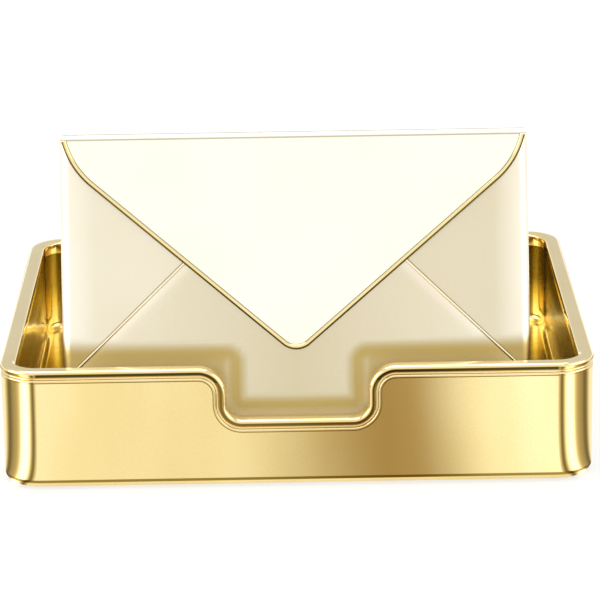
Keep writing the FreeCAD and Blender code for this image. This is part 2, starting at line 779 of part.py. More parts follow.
def bottom_leaf():
    """Lower leaf, lapped over the side leaves, with a flange under the case."""
    body = new_body("bottom_leaf")
    side = number(CASE_WIDTH) / 2 - size("case_side_round")
    meet = seam_throat_distance()
    slope = flap_slope()
    radius = size("throat_tip_radius")
    centre = vec(0, throat_height(0) + radius / math.cos(slope))
    tip = arc(centre, radius, -90, math.degrees(slope) - 90)
    right = [tip, (tip[2], vec(meet, throat_height(meet))),
             (vec(meet, throat_height(meet)), vec(side, seam_height(side))),
             (vec(side, seam_height(side)), vec(side, 0)), (vec(side, 0), vec(0, 0))]
    plate = new_sketch(body, "plate", "XZ_Plane")
    draw(plate, right + mirrored(right))
    pad(body, plate, "sizes.case_sheet")
    flange = new_sketch(body, "flange", "XY_Plane")
    draw(flange, rectangle(-side, side, -size("case_sheet"), size("case_depth")))
    pad(body, flange, "sizes.case_sheet")
    front = -size("case_sheet")
    fillet(body, "sizes.case_bottom_round", lambda point: near(point.y, front) and near(point.z, 0))
    lean_with_case(body)
    return body


def seam_bead(label, side):
    """Thin raised bead along the bottom leaf's edge."""
    body = new_body(label)
    edge = number(CASE_WIDTH) / 2 - size("case_side_round")
    slope = math.radians(size("seam_angle"))
    width = size("seam_width")
    meet = seam_throat_distance()
    points = [vec(edge, seam_height(edge)), vec(edge, seam_height(edge) + width / math.cos(slope)),
              vec(meet + width * math.sin(slope), throat_height(meet) + width * math.cos(slope)),
              vec(meet, throat_height(meet))]
    outline = polygon(points)
    if side < 0:
        outline = mirrored(outline)
    strip = new_sketch(body, "strip", "XZ_Plane")
    draw(strip, outline)
    height = "sizes.case_sheet + sizes.seam_height"
    pad(body, strip, height)
    front = -number(height)
    long_enough = (points[0] - points[3]).Length / 2
    round_long_edges(body, "sizes.seam_round", front, long_enough)
    lean_with_case(body)
    return body


def leaf_rivets():
    """Flush rivets through the side leaves and the back pan's flanges, with heads inside."""
    rivets = []
    shank_length = "(2 * sizes.case_sheet + sizes.case_nest_gap)"
    for side, name in ((-1, "left"), (1, "right")):
        turn = FreeCAD.Rotation(vec(0, 1), -90 * side)
        for index in range(LEAF_RIVETS):
            height = "sizes.leaf_rivet_low + %d * %s" % (index, LEAF_RIVET_STEP)
            shank = primitive("Cylinder", "%s_rivet_shank_%d" % (name, index),
                              ("%d * %s / 2" % (side, CASE_WIDTH), LEAF_RIVET_Y, height), turn,
                              Radius="sizes.rivet_radius", Height=shank_length)
            head = primitive("Cylinder", "%s_rivet_head_%d" % (name, index),
                             ("%d * (%s / 2 - %s)" % (side, CASE_WIDTH, shank_length),
                              LEAF_RIVET_Y, height), turn,
                             Radius="sizes.rivet_head_radius", Height="sizes.rivet_head_height")
            rivets.append(join("%s_rivet_%d" % (name, index), [shank, head]))
    lean_with_case(group("leaf_rivets", rivets))


def flap_edge(inset):
    """Right half of the flap's edge, from the tip up to the fold, moved inwards by an inset."""
    slope = flap_slope()
    angle = math.degrees(slope)
    along = vec(math.cos(slope), math.sin(slope))
    inward = vec(-math.sin(slope), math.cos(slope))
    apex = vec(0, flap_apex())
    reach = flap_corner() - apex
    radius = size("flap_shoulder_radius")
    lift = reach.dot(inward)
    run = reach.dot(along) - math.sqrt(2 * radius * lift - lift * lift)
    shoulder = apex + along * run + inward * radius
    tip_centre = apex + vec(0, size("flap_tip_radius") / math.cos(slope))
    tip = arc(tip_centre, size("flap_tip_radius") - inset, -90, angle - 90)
    top = size("case_height") - size("flap_fold_radius")
    side = radius - inset
    end = math.degrees(math.asin((top - shoulder.y) / side))
    bend = arc(shoulder, side, angle - 90, end)
    return [tip, (tip[2], bend[0]), bend]


def flap_panel():
    """Pointed panel, folded back at the top into a web that covers the pocket's mouth."""
    body = new_body("flap_panel")
    back = -size("flap_stand_off")
    front = back - size("flap_sheet")
    top = size("case_height")
    under = number(WEB_UNDER)
    end = number(WEB_END)
    low = top - size("flap_tip_drop") - size("overrun")
    fold = size("flap_fold_radius")
    thick = size("flap_sheet")
    centre = vec(front + fold, top - fold)
    outside = arc(centre, fold, 180, 90)
    inside = arc(centre, fold - thick, 90, 180)
    section = new_sketch(body, "section", "YZ_Plane", "sizes.flap_side_inset - %s / 2" % CASE_WIDTH)
    draw(section, [(vec(front, low), outside[0]), outside, (outside[2], vec(end, top)),
                   (vec(end, top), vec(end, under)), (vec(end, under), inside[0]), inside,
                   (inside[2], vec(back, low)), (vec(back, low), vec(front, low))])
    pad(body, section, "%s - 2 * sizes.flap_side_inset" % CASE_WIDTH)
    edge = flap_edge(size("flap_bead_width"))
    crease = edge[-1][2]
    corner = number(CASE_WIDTH) / 2 - size("flap_side_inset")
    high = top + size("overrun")
    right = edge + [(crease, vec(corner + size("overrun"), crease.y)),
                    (vec(corner + size("overrun"), crease.y), vec(corner + size("overrun"), high)),
                    (vec(corner + size("overrun"), high), vec(0, high))]
    around = number(CASE_WIDTH)
    outline = right + mirrored(right)
    outline += rectangle(-around, around, low - size("overrun"), high + size("overrun"))
    trim = new_sketch(body, "trim", "XZ_Plane", "-%s - sizes.overrun" % WEB_END)
    draw(trim, outline)
    cut(body, trim, "%s + 2 * sizes.overrun + sizes.flap_stand_off" % WEB_END, reverse=True)
    holes = new_sketch(body, "rivet_holes", "XY_Plane", WEB_UNDER)
    radius = size("rivet_radius") + size("rivet_hole_gap")
    for x in hinge_rivet_places():
        place = vec(x, number(HINGE_Y) - size("hinge_rivet_reach"))
        index = holes.addGeometry(Part.Circle(place, vec(0, 0, 1), radius), False)
        holes.addConstraint(Sketcher.Constraint("Block", index))
    cut(body, holes, "sizes.flap_sheet", reverse=True)
    lean_with_case(body)
    return body


def flap_edge_bead():
    """Round-fronted piping along the flap's edge, from fold to fold."""
    body = new_body("flap_edge_bead")
    outer = flap_edge(0)
    inner = flap_edge(size("flap_bead_width"))
    end = (outer[-1][2], inner[-1][2])
    outline = outer + [end] + mirrored(outer)
    outline += inner + mirrored(inner) + [tuple(vec(-point.x, point.y) for point in end)]
    band = new_sketch(body, "band", "XZ_Plane", "sizes.flap_stand_off")
    draw(band, outline)
    pad(body, band, "sizes.flap_bead_height")
    front = -size("flap_stand_off") - size("flap_bead_height")
    round_long_edges(body, "sizes.flap_bead_round", front, 2 * size("flap_bead_width"))
    lean_with_case(body)
    return body


def knuckle_spans(chosen):
    """Start and length along X of the chosen knuckles."""
    pitch = "%s / %d" % (HINGE_LENGTH, KNUCKLES)
    spans = []
    for index in chosen:
        start = "(-%s / 2 + %d * %s + sizes.hinge_end_play / 2)" % (HINGE_LENGTH, index, pitch)
        spans.append((start, "%s - sizes.hinge_end_play" % pitch))
    return spans


def hinge_leaf(label, chosen, plates):
    """Hinge leaf: flat strips, and knuckles bored for the pin."""
    turn = FreeCAD.Rotation(vec(0, 1), 90)
    solids = list(plates)
    for index, (start, length) in enumerate(knuckle_spans(chosen)):
        solids.append(primitive("Cylinder", "%s_knuckle_%d" % (label, index), (start, HINGE_Y, HINGE_Z), turn,
                                Radius="sizes.hinge_barrel_radius", Height=length))
    bore = primitive("Cylinder", label + "_bore", ("-%s / 2" % HINGE_LENGTH, HINGE_Y, HINGE_Z), turn,
                     Radius="sizes.hinge_bore_radius", Height=HINGE_LENGTH)
    return subtract(label + "_bored", join(label + "_blank", solids), bore)


def rivet_hole_tools(label, places, turn, length):
    tools = []
    for index, place in enumerate(places):
        tools.append(primitive("Cylinder", "%s_hole_%d" % (label, index), place, turn,
                               Radius="sizes.rivet_radius + sizes.rivet_hole_gap", Height=length))
    return join(label + "_holes", tools)


def rivet_offset(index):
    return "%d * %s" % (index - HINGE_RIVETS // 2, HINGE_RIVET_PITCH)


def case_hinge():
    """Leaf riveted to the back of the case, with the lip that stops the open flap."""
    gap = "(sizes.hinge_barrel_radius + sizes.hinge_clearance)"
    left = "-%s / 2" % HINGE_LENGTH
    foot = HINGE_Z + " - sizes.hinge_leaf_height"
    strip = primitive("Box", "case_leaf_strip", (left, "sizes.case_depth", foot), Length=HINGE_LENGTH,
                      Width="sizes.hinge_sheet", Height="sizes.hinge_leaf_height - %s" % gap)
    plates = [strip]
    for index, (start, length) in enumerate(knuckle_spans(CASE_KNUCKLES)):
        plates.append(primitive("Box", "case_leaf_neck_%d" % index,
                                (start, "sizes.case_depth", HINGE_Z + " - %s" % gap),
                                Length=length, Width="sizes.hinge_sheet", Height=gap))
    lip_top = HINGE_Z + " - sizes.hinge_barrel_radius - sizes.stop_lip_gap"
    plates.append(primitive("Box", "stop_lip", (left, "sizes.case_depth", lip_top + " - sizes.hinge_sheet"),
                            Length=HINGE_LENGTH, Width="sizes.hinge_sheet + sizes.stop_lip_reach",
                            Height="sizes.hinge_sheet"))
    leaf = hinge_leaf("case_leaf", CASE_KNUCKLES, plates)
    turn = FreeCAD.Rotation(vec(1, 0), -90)
    drop = HINGE_Z + " - sizes.hinge_rivet_drop"
    places = [(rivet_offset(index), "sizes.case_depth", drop) for index in range(HINGE_RIVETS)]
    holes = rivet_hole_tools("case_leaf", places, turn, "sizes.hinge_sheet")
    node = subtract("case_hinge_leaf", leaf, holes)
    lean_with_case(node)
    rivets = []
    for index in range(HINGE_RIVETS):
        at_x = rivet_offset(index)
        parts = [primitive("Cylinder", "back_rivet_shank_%d" % index,
                           (at_x, "sizes.case_depth - sizes.case_sheet", drop), turn,
                           Radius="sizes.rivet_radius", Height="sizes.case_sheet + sizes.hinge_sheet"),
                 primitive("Cylinder", "back_rivet_head_%d" % index,
                           (at_x, "sizes.case_depth + sizes.hinge_sheet", drop), turn,
                           Radius="sizes.rivet_head_radius", Height="sizes.rivet_head_height"),
                 primitive("Cylinder", "back_rivet_tail_%d" % index,
                           (at_x, "sizes.case_depth - sizes.case_sheet - sizes.rivet_head_height", drop),
                         turn,
                           Radius="sizes.rivet_head_radius", Height="sizes.rivet_head_height")]
        rivets.append(join("back_rivet_%d" % index, parts))
    lean_with_case(group("case_hinge_rivets", rivets))


def flap_hinge():
    """Leaf riveted under the flap's web."""
    gap = "(sizes.hinge_barrel_radius + sizes.hinge_clearance)"
    under = WEB_UNDER + " - sizes.hinge_sheet"
    front = HINGE_Y + " - sizes.hinge_leaf_reach"
    plates = [primitive("Box", "flap_leaf_strip", ("-%s / 2" % HINGE_LENGTH, front, under),
                        Length=HINGE_LENGTH, Width="sizes.hinge_leaf_reach - %s" % gap,
                        Height="sizes.hinge_sheet")]
    for index, (start, length) in enumerate(knuckle_spans(FLAP_KNUCKLES)):
        plates.append(primitive("Box", "flap_leaf_neck_%d" % index, (start, HINGE_Y + " - %s" % gap, under),
                                Length=length, Width=gap, Height="sizes.hinge_sheet"))
    leaf = hinge_leaf("flap_leaf", FLAP_KNUCKLES, plates)
    line = HINGE_Y + " - sizes.hinge_rivet_reach"
    places = [(rivet_offset(index), line, under) for index in range(HINGE_RIVETS)]
    holes = rivet_hole_tools("flap_leaf", places, None, "sizes.hinge_sheet")
    node = subtract("flap_hinge_leaf", leaf, holes)
    lean_with_case(node)
    rivets = []
    for index in range(HINGE_RIVETS):
        at_x = rivet_offset(index)
        parts = [primitive("Cylinder", "web_rivet_shank_%d" % index, (at_x, line, under),
                           Radius="sizes.rivet_radius", Height="sizes.hinge_sheet + sizes.flap_sheet"),
                 primitive("Cylinder", "web_rivet_tail_%d" % index,
                           (at_x, line, under + " - sizes.rivet_head_height"),
                           Radius="sizes.rivet_head_radius", Height="sizes.rivet_head_height")]
        rivets.append(join("web_rivet_%d" % index, parts))
    lean_with_case(group("flap_hinge_rivets", rivets))


def hinge_pin():
    turn = FreeCAD.Rotation(vec(0, 1), 90)
    rod = primitive("Cylinder", "hinge_pin_rod", ("-%s / 2" % HINGE_LENGTH, HINGE_Y, HINGE_Z), turn,
                    Radius="sizes.hinge_pin_radius", Height=HINGE_LENGTH)
    lean_with_case(group("hinge_pin", [rod]))


NODES = [
    "outer_shell", "inner_liner", "rim_bead",
    "front_left_foot", "front_right_foot", "rear_left_foot", "rear_right_foot",
    "floor_posts", "post_screws", "case_socket", "socket_pad", "socket_screws", "socket_nuts",
    "case_back", "left_leaf", "right_leaf", "bottom_leaf", "left_seam_bead", "right_seam_bead",
    "leaf_rivets", "case_hinge_leaf", "case_hinge_rivets", "hinge_pin",
    "flap_panel", "flap_edge_bead", "flap_hinge_leaf", "flap_hinge_rivets",
]

outer_shell()
inner_liner()
rim_bead()
feet()
floor_posts()
case_socket()
socket_pad()
socket_screws()
case_back()
side_leaf("left_leaf", -1)
side_leaf("right_leaf", 1)
bottom_leaf()
seam_bead("left_seam_bead", -1)
seam_bead("right_seam_bead", 1)
leaf_rivets()
case_hinge()
hinge_pin()
flap_panel()
flap_edge_bead()
flap_hinge()
doc.recompute()

for item in doc.Objects:
    if "Invalid" in item.State or "Error" in item.State:
        raise RuntimeError("%s failed: %s" % (item.Label, item.State))

os.makedirs("parts", exist_ok=True)
for label in NODES:
    node = doc.getObjectsByLabel(label)[0]
    shape = node.Shape
    if shape.isNull() or not shape.isValid() or not shape.Solids:
        raise RuntimeError("%s has no valid solid" % label)
    box = shape.BoundBox
    print("%-20s solids %2d  volume %9.1f  x %.1f %.1f  y %.1f %.1f  z %.1f %.1f" % (
        label, len(shape.Solids), shape.Volume, box.XMin, box.XMax, box.YMin, box.YMax, box.ZMin, box.ZMax))
    shape.exportStep("parts/%s.step" % label)
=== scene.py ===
"""Polished brass letter tray with an envelope-shaped letter case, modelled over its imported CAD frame."""

import logging
from collections.abc import Callable, Iterator, Sequence
from contextlib import contextmanager
from dataclasses import dataclass, field
from enum import Enum
from math import acos, asin, atan2, cos, degrees, hypot, pi, radians, sin, sqrt, tan

import bmesh
import bpy
from bpy.types import Material, Node, NodeOutputs, NodeSocket, Object, World
from mathutils import Matrix, Vector


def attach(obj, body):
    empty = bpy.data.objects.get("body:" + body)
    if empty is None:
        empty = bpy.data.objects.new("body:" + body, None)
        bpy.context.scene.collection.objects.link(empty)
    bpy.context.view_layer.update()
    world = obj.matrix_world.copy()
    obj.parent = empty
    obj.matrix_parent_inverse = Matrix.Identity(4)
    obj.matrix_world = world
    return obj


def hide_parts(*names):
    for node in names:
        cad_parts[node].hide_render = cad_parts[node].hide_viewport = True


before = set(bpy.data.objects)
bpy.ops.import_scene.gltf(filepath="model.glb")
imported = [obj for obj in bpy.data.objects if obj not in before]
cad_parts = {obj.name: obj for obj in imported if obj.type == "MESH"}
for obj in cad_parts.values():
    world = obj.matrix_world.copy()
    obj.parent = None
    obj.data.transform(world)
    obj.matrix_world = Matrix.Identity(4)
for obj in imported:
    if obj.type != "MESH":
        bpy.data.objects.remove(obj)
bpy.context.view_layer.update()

LOG = logging.getLogger("letter_tray")
Pairs = tuple[tuple[float, float], ...]
MM = 0.001
# Slack of a test of place, and the distance within which points merge, in metres.
NEAR = 1e-5
WELD = 1e-6
# Angles in degrees up to which sheet and beading are shaded smooth.
SHEET_ANGLE = 34.0
BEAD_ANGLE = 50.0
# Point attribute that carries painted shade: painted dark reflections and shadows on the metal.
SHADE_ATTRIBUTE = "painted_shade"


class Pick(Enum):
    """What is selected in edit mode."""

    VERT = "VERT"
    EDGE = "EDGE"
    FACE = "FACE"


class Side(Enum):
    """Left or right of the tray, as the sign of its X."""

    LEFT = -1
    RIGHT = 1


class Axis(Enum):
    """Axis that a run turns about."""

    X = (1.0, 0.0, 0.0)
    Y = (0.0, 1.0, 0.0)
    Z = (0.0, 0.0, 1.0)


def mm(x: float, y: float, z: float) -> Vector:
    """Point or step given in millimetres, in metres."""
    return Vector((x, y, z)) * MM


def clamp(value: float) -> float:
    """Holds a value between 0 and 1."""
    return min(1.0, max(0.0, value))


def linear(code: str) -> tuple[float, float, float, float]:
    """Turns an sRGB hex colour to the linear values that the shaders take.

    Args:
        code: Six hex digits.

    Returns:
        Linear red, green, blue and an alpha of one.
    """
    shares = [int(code[i:i + 2], 16) / 255 for i in (0, 2, 4)]
    values = [c / 12.92 if c <= 0.04045 else ((c + 0.055) / 1.055) ** 2.4 for c in shares]
    return (values[0], values[1], values[2], 1.0)


# ---------------------------------------------------------------- bench work

def take(obj: Object) -> None:
    """Selects one object alone and makes it the active one."""
    bpy.ops.object.select_all(action="DESELECT")
    obj.select_set(True)
    bpy.context.view_layer.objects.active = obj


@contextmanager
def editing(obj: Object, kind: Pick = Pick.EDGE) -> Iterator[None]:
    """Opens an object in edit mode with nothing selected, and closes it again.

    Args:
        obj: Mesh object to work on.
        kind: What the selection is made of.
    """
    take(obj)
    bpy.ops.object.mode_set(mode="EDIT")
    bpy.ops.mesh.select_mode(type=kind.value)
    select(False)
    yield
    bpy.ops.object.mode_set(mode="OBJECT")


def select(everything: bool) -> None:
    """Selects all of the mesh or nothing, in edit mode."""
    bpy.ops.mesh.select_all(action="SELECT" if everything else "DESELECT")


def extrude(move: Vector) -> None:
    """Extrudes what is selected by a step."""
    bpy.ops.mesh.extrude_region_move(TRANSFORM_OT_translate={"value": move})


def bevel(width: float, steps: int) -> None:
    """Rounds the selected edges over a width in millimetres."""
    bpy.ops.mesh.bevel(offset=width * MM, segments=steps, affect="EDGES")


def pick_edges(obj: Object, test: Callable[[Vector, Vector], bool]) -> None:
    """Selects the edges whose two ends pass a test, in edit mode."""
    mesh = bmesh.from_edit_mesh(obj.data)
    for edge in mesh.edges:
        edge.select = test(edge.verts[0].co, edge.verts[1].co)
    bmesh.update_edit_mesh(obj.data)


def pick_faces(obj: Object, test: Callable[[Vector, Vector], bool]) -> None:
    """Selects the faces whose middle and normal pass a test, in edit mode."""
    mesh = bmesh.from_edit_mesh(obj.data)
    for face in mesh.faces:
        face.select = test(face.calc_center_median(), face.normal)
    bmesh.update_edit_mesh(obj.data)


def settle(obj: Object) -> None:
    """Applies an object's place, turn and scale to its mesh."""
    take(obj)
    bpy.ops.object.transform_apply(location=True, rotation=True, scale=True)


def block(name: str, low: Vector, high: Vector) -> Object:
    """Box between two corners.

    Args:
        name: Name of the new object.
        low: Lowest corner.
        high: Highest corner.

    Returns:
        The new object, at the origin.
    """
    bpy.ops.object.select_all(action="DESELECT")
    bpy.ops.mesh.primitive_cube_add(size=1, location=(low + high) / 2, scale=high - low)
    obj = bpy.context.object
    obj.name = name
    settle(obj)
    return obj


def finish_with(obj: Object, kind: str, **settings: object) -> None:
    """Adds a modifier with its settings and applies it."""
    take(obj)
    modifier = obj.modifiers.new(kind.lower(), kind)
    for key, value in settings.items():
        setattr(modifier, key, value)
    bpy.ops.object.modifier_apply(modifier=modifier.name)


def carve(obj: Object, tool: Object, keep: bool = False) -> None:
    """Cuts a tool's shape out of an object, or keeps only what lies in it, and removes the tool.

    Args:
        obj: Object to cut.
        tool: Closed cutter.
        keep: Keeps what lies inside the cutter instead.
    """
    finish_with(obj, "BOOLEAN", object=tool, operation="INTERSECT" if keep else "DIFFERENCE", solver="EXACT")
    bpy.data.objects.remove(tool)


def smooth(obj: Object, angle: float = SHEET_ANGLE) -> None:
    """Smooth shading up to an angle in degrees, with broad faces kept flat."""
    take(obj)
    bpy.ops.object.shade_smooth_by_angle(angle=radians(angle))
    finish_with(obj, "WEIGHTED_NORMAL", keep_sharp=True, weight=80)


def paint_shade(obj: Object, share: Callable[[Vector], float]) -> None:
    """Notes on each point how much painted shade it gets, from 0 to 1.

    Args:
        obj: Mesh object, out of edit mode.
        share: Gives the painted shade at a place.
    """
    marks = obj.data.attributes.get(SHADE_ATTRIBUTE) or obj.data.attributes.new(SHADE_ATTRIBUTE, "FLOAT", "POINT")
    for mark, vertex in zip(marks.data, obj.data.vertices):
        mark.value = share(vertex.co)


def rings(obj: Object, axis: Axis, *places: float) -> None:
    """Cuts rings of edges round an object, square to an axis, at places in millimetres along it."""
    with editing(obj, Pick.VERT):
        for place in places:
            select(True)
            bpy.ops.mesh.bisect(plane_co=Vector(axis.value) * place * MM, plane_no=axis.value)


def outwards(obj: Object) -> None:
    """Merges doubles and turns every face outwards."""
    with editing(obj, Pick.VERT):
        select(True)
        bpy.ops.mesh.remove_doubles(threshold=WELD)
        bpy.ops.mesh.normals_make_consistent(inside=False)


class Pen:
    """Draws a run of edges from one point, in straight steps and arcs, and sweeps or fills it."""

    def __init__(self, name: str, start: Vector) -> None:
        """Puts down a single point and starts drawing there.

        Args:
            name: Name of the new object.
            start: First point of the run.
        """
        bpy.ops.object.select_all(action="DESELECT")
        bpy.ops.mesh.primitive_plane_add(size=MM, location=start)
        self.obj = bpy.context.object
        self.obj.name = name
        settle(self.obj)
        self.tip = start.copy()
        bpy.ops.object.mode_set(mode="EDIT")
        bpy.ops.mesh.select_mode(type="VERT")
        select(True)
        bpy.ops.mesh.merge(type="CENTER")

    def step(self, move: Vector) -> "Pen":
        """Extrudes what is selected by a step."""
        extrude(move)
        self.tip = self.tip + move
        return self

    def to(self, *points: Vector) -> "Pen":
        """Draws straight on through some points."""
        for point in points:
            self.step(point - self.tip)
        return self

    def turn(self, centre: Vector, axis: Axis, angle: float, steps: int) -> "Pen":
        """Spins what is selected about an axis through a centre.

        Args:
            centre: Point on the axis.
            axis: Direction of the axis.
            angle: Turn in degrees, right-handed about the axis.
            steps: Number of straight pieces in the arc.

        Returns:
            The pen itself.
        """
        bpy.ops.mesh.spin(steps=steps, angle=-radians(angle), center=centre, axis=axis.value)
        spun = Matrix.Rotation(radians(angle), 3, Vector(axis.value)) @ (self.tip - centre)
        self.tip = centre + spun
        return self

    def section(self, *rows: tuple[float, ...]) -> "Pen":
        """Draws on square to the X axis.

        Args:
            *rows: Y and Z of a point to go straight to, or Y and Z of a centre, degrees and steps of an arc.

        Returns:
            The pen itself.
        """
        for y, z, *arc in rows:
            point = mm(self.tip.x / MM, y, z)
            if arc:
                self.turn(point, Axis.X, *arc)
            else:
                self.to(point)
        return self

    def close(self) -> "Pen":
        """Joins the end of the run to its start and selects all of it."""
        select(True)
        bpy.ops.mesh.remove_doubles(threshold=WELD)
        bpy.ops.mesh.select_mode(type="EDGE")
        select(True)
        return self

    def paint_shade(self, share: Callable[[Vector], float]) -> "Pen":
        """Notes the painted shade on the drawn points, which the sweep then carries along."""
        mesh = bmesh.from_edit_mesh(self.obj.data)
        layer = mesh.verts.layers.float.get(SHADE_ATTRIBUTE) or mesh.verts.layers.float.new(SHADE_ATTRIBUTE)
        for vertex in mesh.verts:
            vertex[layer] = share(vertex.co)
        bmesh.update_edit_mesh(self.obj.data)
        return self

    def fill(self) -> "Pen":
        """Fills the closed run with a face."""
        self.close()
        bpy.ops.mesh.edge_face_add()
        return self

    def lift(self) -> Object:
        """Ends drawing and gives the object."""
        bpy.ops.object.mode_set(mode="OBJECT")
        outwards(self.obj)
        return self.obj


def mirrored(obj: Object) -> None:
    """Mirrors an object's half over the middle plane and joins the halves."""
    finish_with(obj, "MIRROR", use_axis=(True, False, False), use_mirror_merge=True, merge_threshold=WELD)
    outwards(obj)


# ---------------------------------------------------------------- finishes

class Nodes:
    """Node tree of a material or of the sky, with short ways to add what is used here."""

    def __init__(self, owner: Material | World) -> None:
        """Empties the owner's tree.

        Args:
            owner: Material or sky that the tree belongs to.
        """
        owner.use_nodes = True
        self.tree = owner.node_tree
        self.tree.nodes.clear()
        self.output = "OutputWorld" if isinstance(owner, World) else "OutputMaterial"

    def add(self, kind: str, inputs: dict[str | int, object] | None = None, **settings: object) -> Node:
        """Adds a node with its settings, values and links.

        Args:
            kind: Blender's name of the node type, after its prefix.
            inputs: Values or output sockets, by the input's name or number.
            **settings: The node's own properties.

        Returns:
            The new node.
        """
        node = self.tree.nodes.new("ShaderNode" + kind)
        for key, value in settings.items():
            setattr(node, key, value)
        for key, value in (inputs or {}).items():
            if isinstance(value, NodeSocket):
                self.tree.links.new(value, node.inputs[key])
            else:
                node.inputs[key].default_value = value
        return node

    def surface(self, kind: str, inputs: dict[str | int, object]) -> None:
        """Adds the shader that ends the tree and links it to the output."""
        self.add(self.output, {"Surface": self.add(kind, inputs).outputs[0]})

    def place(self) -> NodeSocket:
        """Place in the object's own frame."""
        return self.add("TexCoord").outputs["Object"]

    def parts(self, vector: NodeSocket) -> NodeOutputs:
        """The X, Y and Z of a vector."""
        return self.add("SeparateXYZ", {"Vector": vector}).outputs

    def maths(self, kind: str, *values: NodeSocket | float) -> NodeSocket:
        """One sum with its values in order."""
        return self.add("Math", dict(enumerate(values)), operation=kind).outputs[0]

    def span(self, value: NodeSocket, low: float, high: float, first: float = 0.0, last: float = 1.0) -> NodeSocket:
        """Maps a span of values to another one, clamped at its ends."""
        return self.add("MapRange", {"Value": value, "From Min": low, "From Max": high, "To Min": first,
                                     "To Max": last}).outputs["Result"]

    def noise(self, place: NodeSocket, size: float, detail: float, roughness: float = 0.5) -> NodeSocket:
        """Noise with a size in millimetres."""
        return self.add("TexNoise", {"Vector": place, "Scale": 1 / (size * MM), "Detail": detail,
                                     "Roughness": roughness}).outputs["Fac"]

    def mix(self, share: NodeSocket, first: object, second: object) -> NodeSocket:
        """Mixes two colours."""
        return self.add("Mix", {"Factor": share, 6: first, 7: second}, data_type="RGBA").outputs[2]

    def bump(self, height: NodeSocket, depth: float, strength: float = 1.0, **under: NodeSocket) -> NodeSocket:
        """Relief with a depth in millimetres, on the Normal under it if one is given."""
        inputs = {"Height": height, "Strength": strength, "Distance": depth * MM, **under}
        return self.add("Bump", inputs).outputs["Normal"]

    def ramp(self, share: NodeSocket, stops: list[tuple[float, Sequence[float]]],
             easing: str = "LINEAR") -> NodeSocket:
        """Colour by a share.

        Args:
            share: Value from 0 to 1.
            stops: Places on the ramp with their colours, in order.
            easing: How one colour runs into the next.

        Returns:
            The ramp's colour.
        """
        node = self.add("ValToRGB", {"Fac": share})
        node.color_ramp.interpolation = easing
        elements = node.color_ramp.elements
        elements.remove(elements[1])
        for index, (place, colour) in enumerate(stops):
            stop = elements.new(place) if index else elements[0]
            stop.position, stop.color = place, colour
        return node.outputs["Color"]


def fresh(name: str) -> tuple[Material, Nodes]:
    """Empty node material and its tree."""
    material = bpy.data.materials.new(name)
    return material, Nodes(material)


@dataclass(frozen=True)
class Metal:
    """Plated or polished sheet metal with a fine grain and a slight wave in the sheet.

    Attributes:
        name: What the finish is and how it was made.
        pale: Colour where the plating is thin.
        deep: Colour where it is thicker.
        roughness: Lowest and highest roughness over the grain.
        grain: Size of the polishing grain in millimetres.
        grain_depth: Depth of the grain in millimetres.
        wave: Size of the wave in the sheet in millimetres.
        wave_depth: Depth of the wave in millimetres.
        draw: Stretch of the wave along the height, as drawing leaves it.
        mottle: How far the grain shows in the colour.
        inner: Colour at half painted shade, a painted darkening on inner faces and walls.
        dark: Colour at full painted shade: painted dark reflections and shadows in grooves and along beads.
        shades: Values of the noise that give the pale and the deep colour.
        glosses: Values of the grain that give the lowest and the highest roughness.
        dulling: Roughness that full painted shade adds.
    """

    name: str
    pale: str
    deep: str
    roughness: tuple[float, float]
    grain: float = 0.9
    grain_depth: float = 0.002
    wave: float = 45.0
    wave_depth: float = 0.03
    draw: float = 1.0
    mottle: float = 0.3
    inner: str = "E3BC5C"
    dark: str = "574B24"
    shades: tuple[float, float] = (0.35, 0.65)
    glosses: tuple[float, float] = (0.3, 0.7)
    dulling: float = 0.12

    def build(self) -> Material:
        """Makes the material."""
        material, nodes = fresh(self.name)
        place = nodes.place()
        grain = nodes.noise(place, self.grain, 3.0, 0.6)
        drawn = nodes.add("Mapping", {"Vector": place, "Scale": (1.0, 1.0, 1 / self.draw)})
        wave = nodes.noise(drawn.outputs["Vector"], self.wave, 2.0, 0.45)
        share = nodes.maths("MULTIPLY_ADD", grain, self.mottle, wave)
        share = nodes.span(share, *(value + self.mottle / 2 for value in self.shades))
        # Painted shade: the attribute darkens the colour towards inner, then dark, standing in for reflections and
        # shadows.
        painted_shade = nodes.add("Attribute", attribute_name=SHADE_ATTRIBUTE).outputs["Fac"]
        half, full = nodes.span(painted_shade, 0.0, 0.5), nodes.span(painted_shade, 0.5, 1.0)
        colour = nodes.mix(share, linear(self.pale), linear(self.deep))
        colour = nodes.mix(half, colour, linear(self.inner))
        colour = nodes.mix(full, colour, linear(self.dark))
        gloss = nodes.span(grain, *self.glosses, *self.roughness)
        gloss = nodes.maths("MULTIPLY_ADD", full, self.dulling, gloss)
        relief = nodes.bump(grain, self.grain_depth, Normal=nodes.bump(wave, self.wave_depth))
        nodes.surface("BsdfPrincipled", {"Base Color": colour, "Metallic": 1.0, "Roughness": gloss,
                                         "Normal": relief})
        return material


@dataclass(frozen=True)
class Rubber:
    """Moulded rubber: matt, almost black, with a fine stippled skin."""

    name: str = "moulded_black_rubber"
    pale: str = "2B2B2A"
    deep: str = "1B1B1A"
    stipple: float = 0.8
    depth: float = 0.05

    def build(self) -> Material:
        """Makes the material."""
        material, nodes = fresh(self.name)
        skin = nodes.noise(nodes.place(), self.stipple, 4.0)
        colour = nodes.mix(skin, linear(self.pale), linear(self.deep))
        nodes.surface("BsdfPrincipled", {"Base Color": colour, "Roughness": 0.78, "IOR": 1.52,
                                         "Normal": nodes.bump(skin, self.depth, 0.6)})
        return material


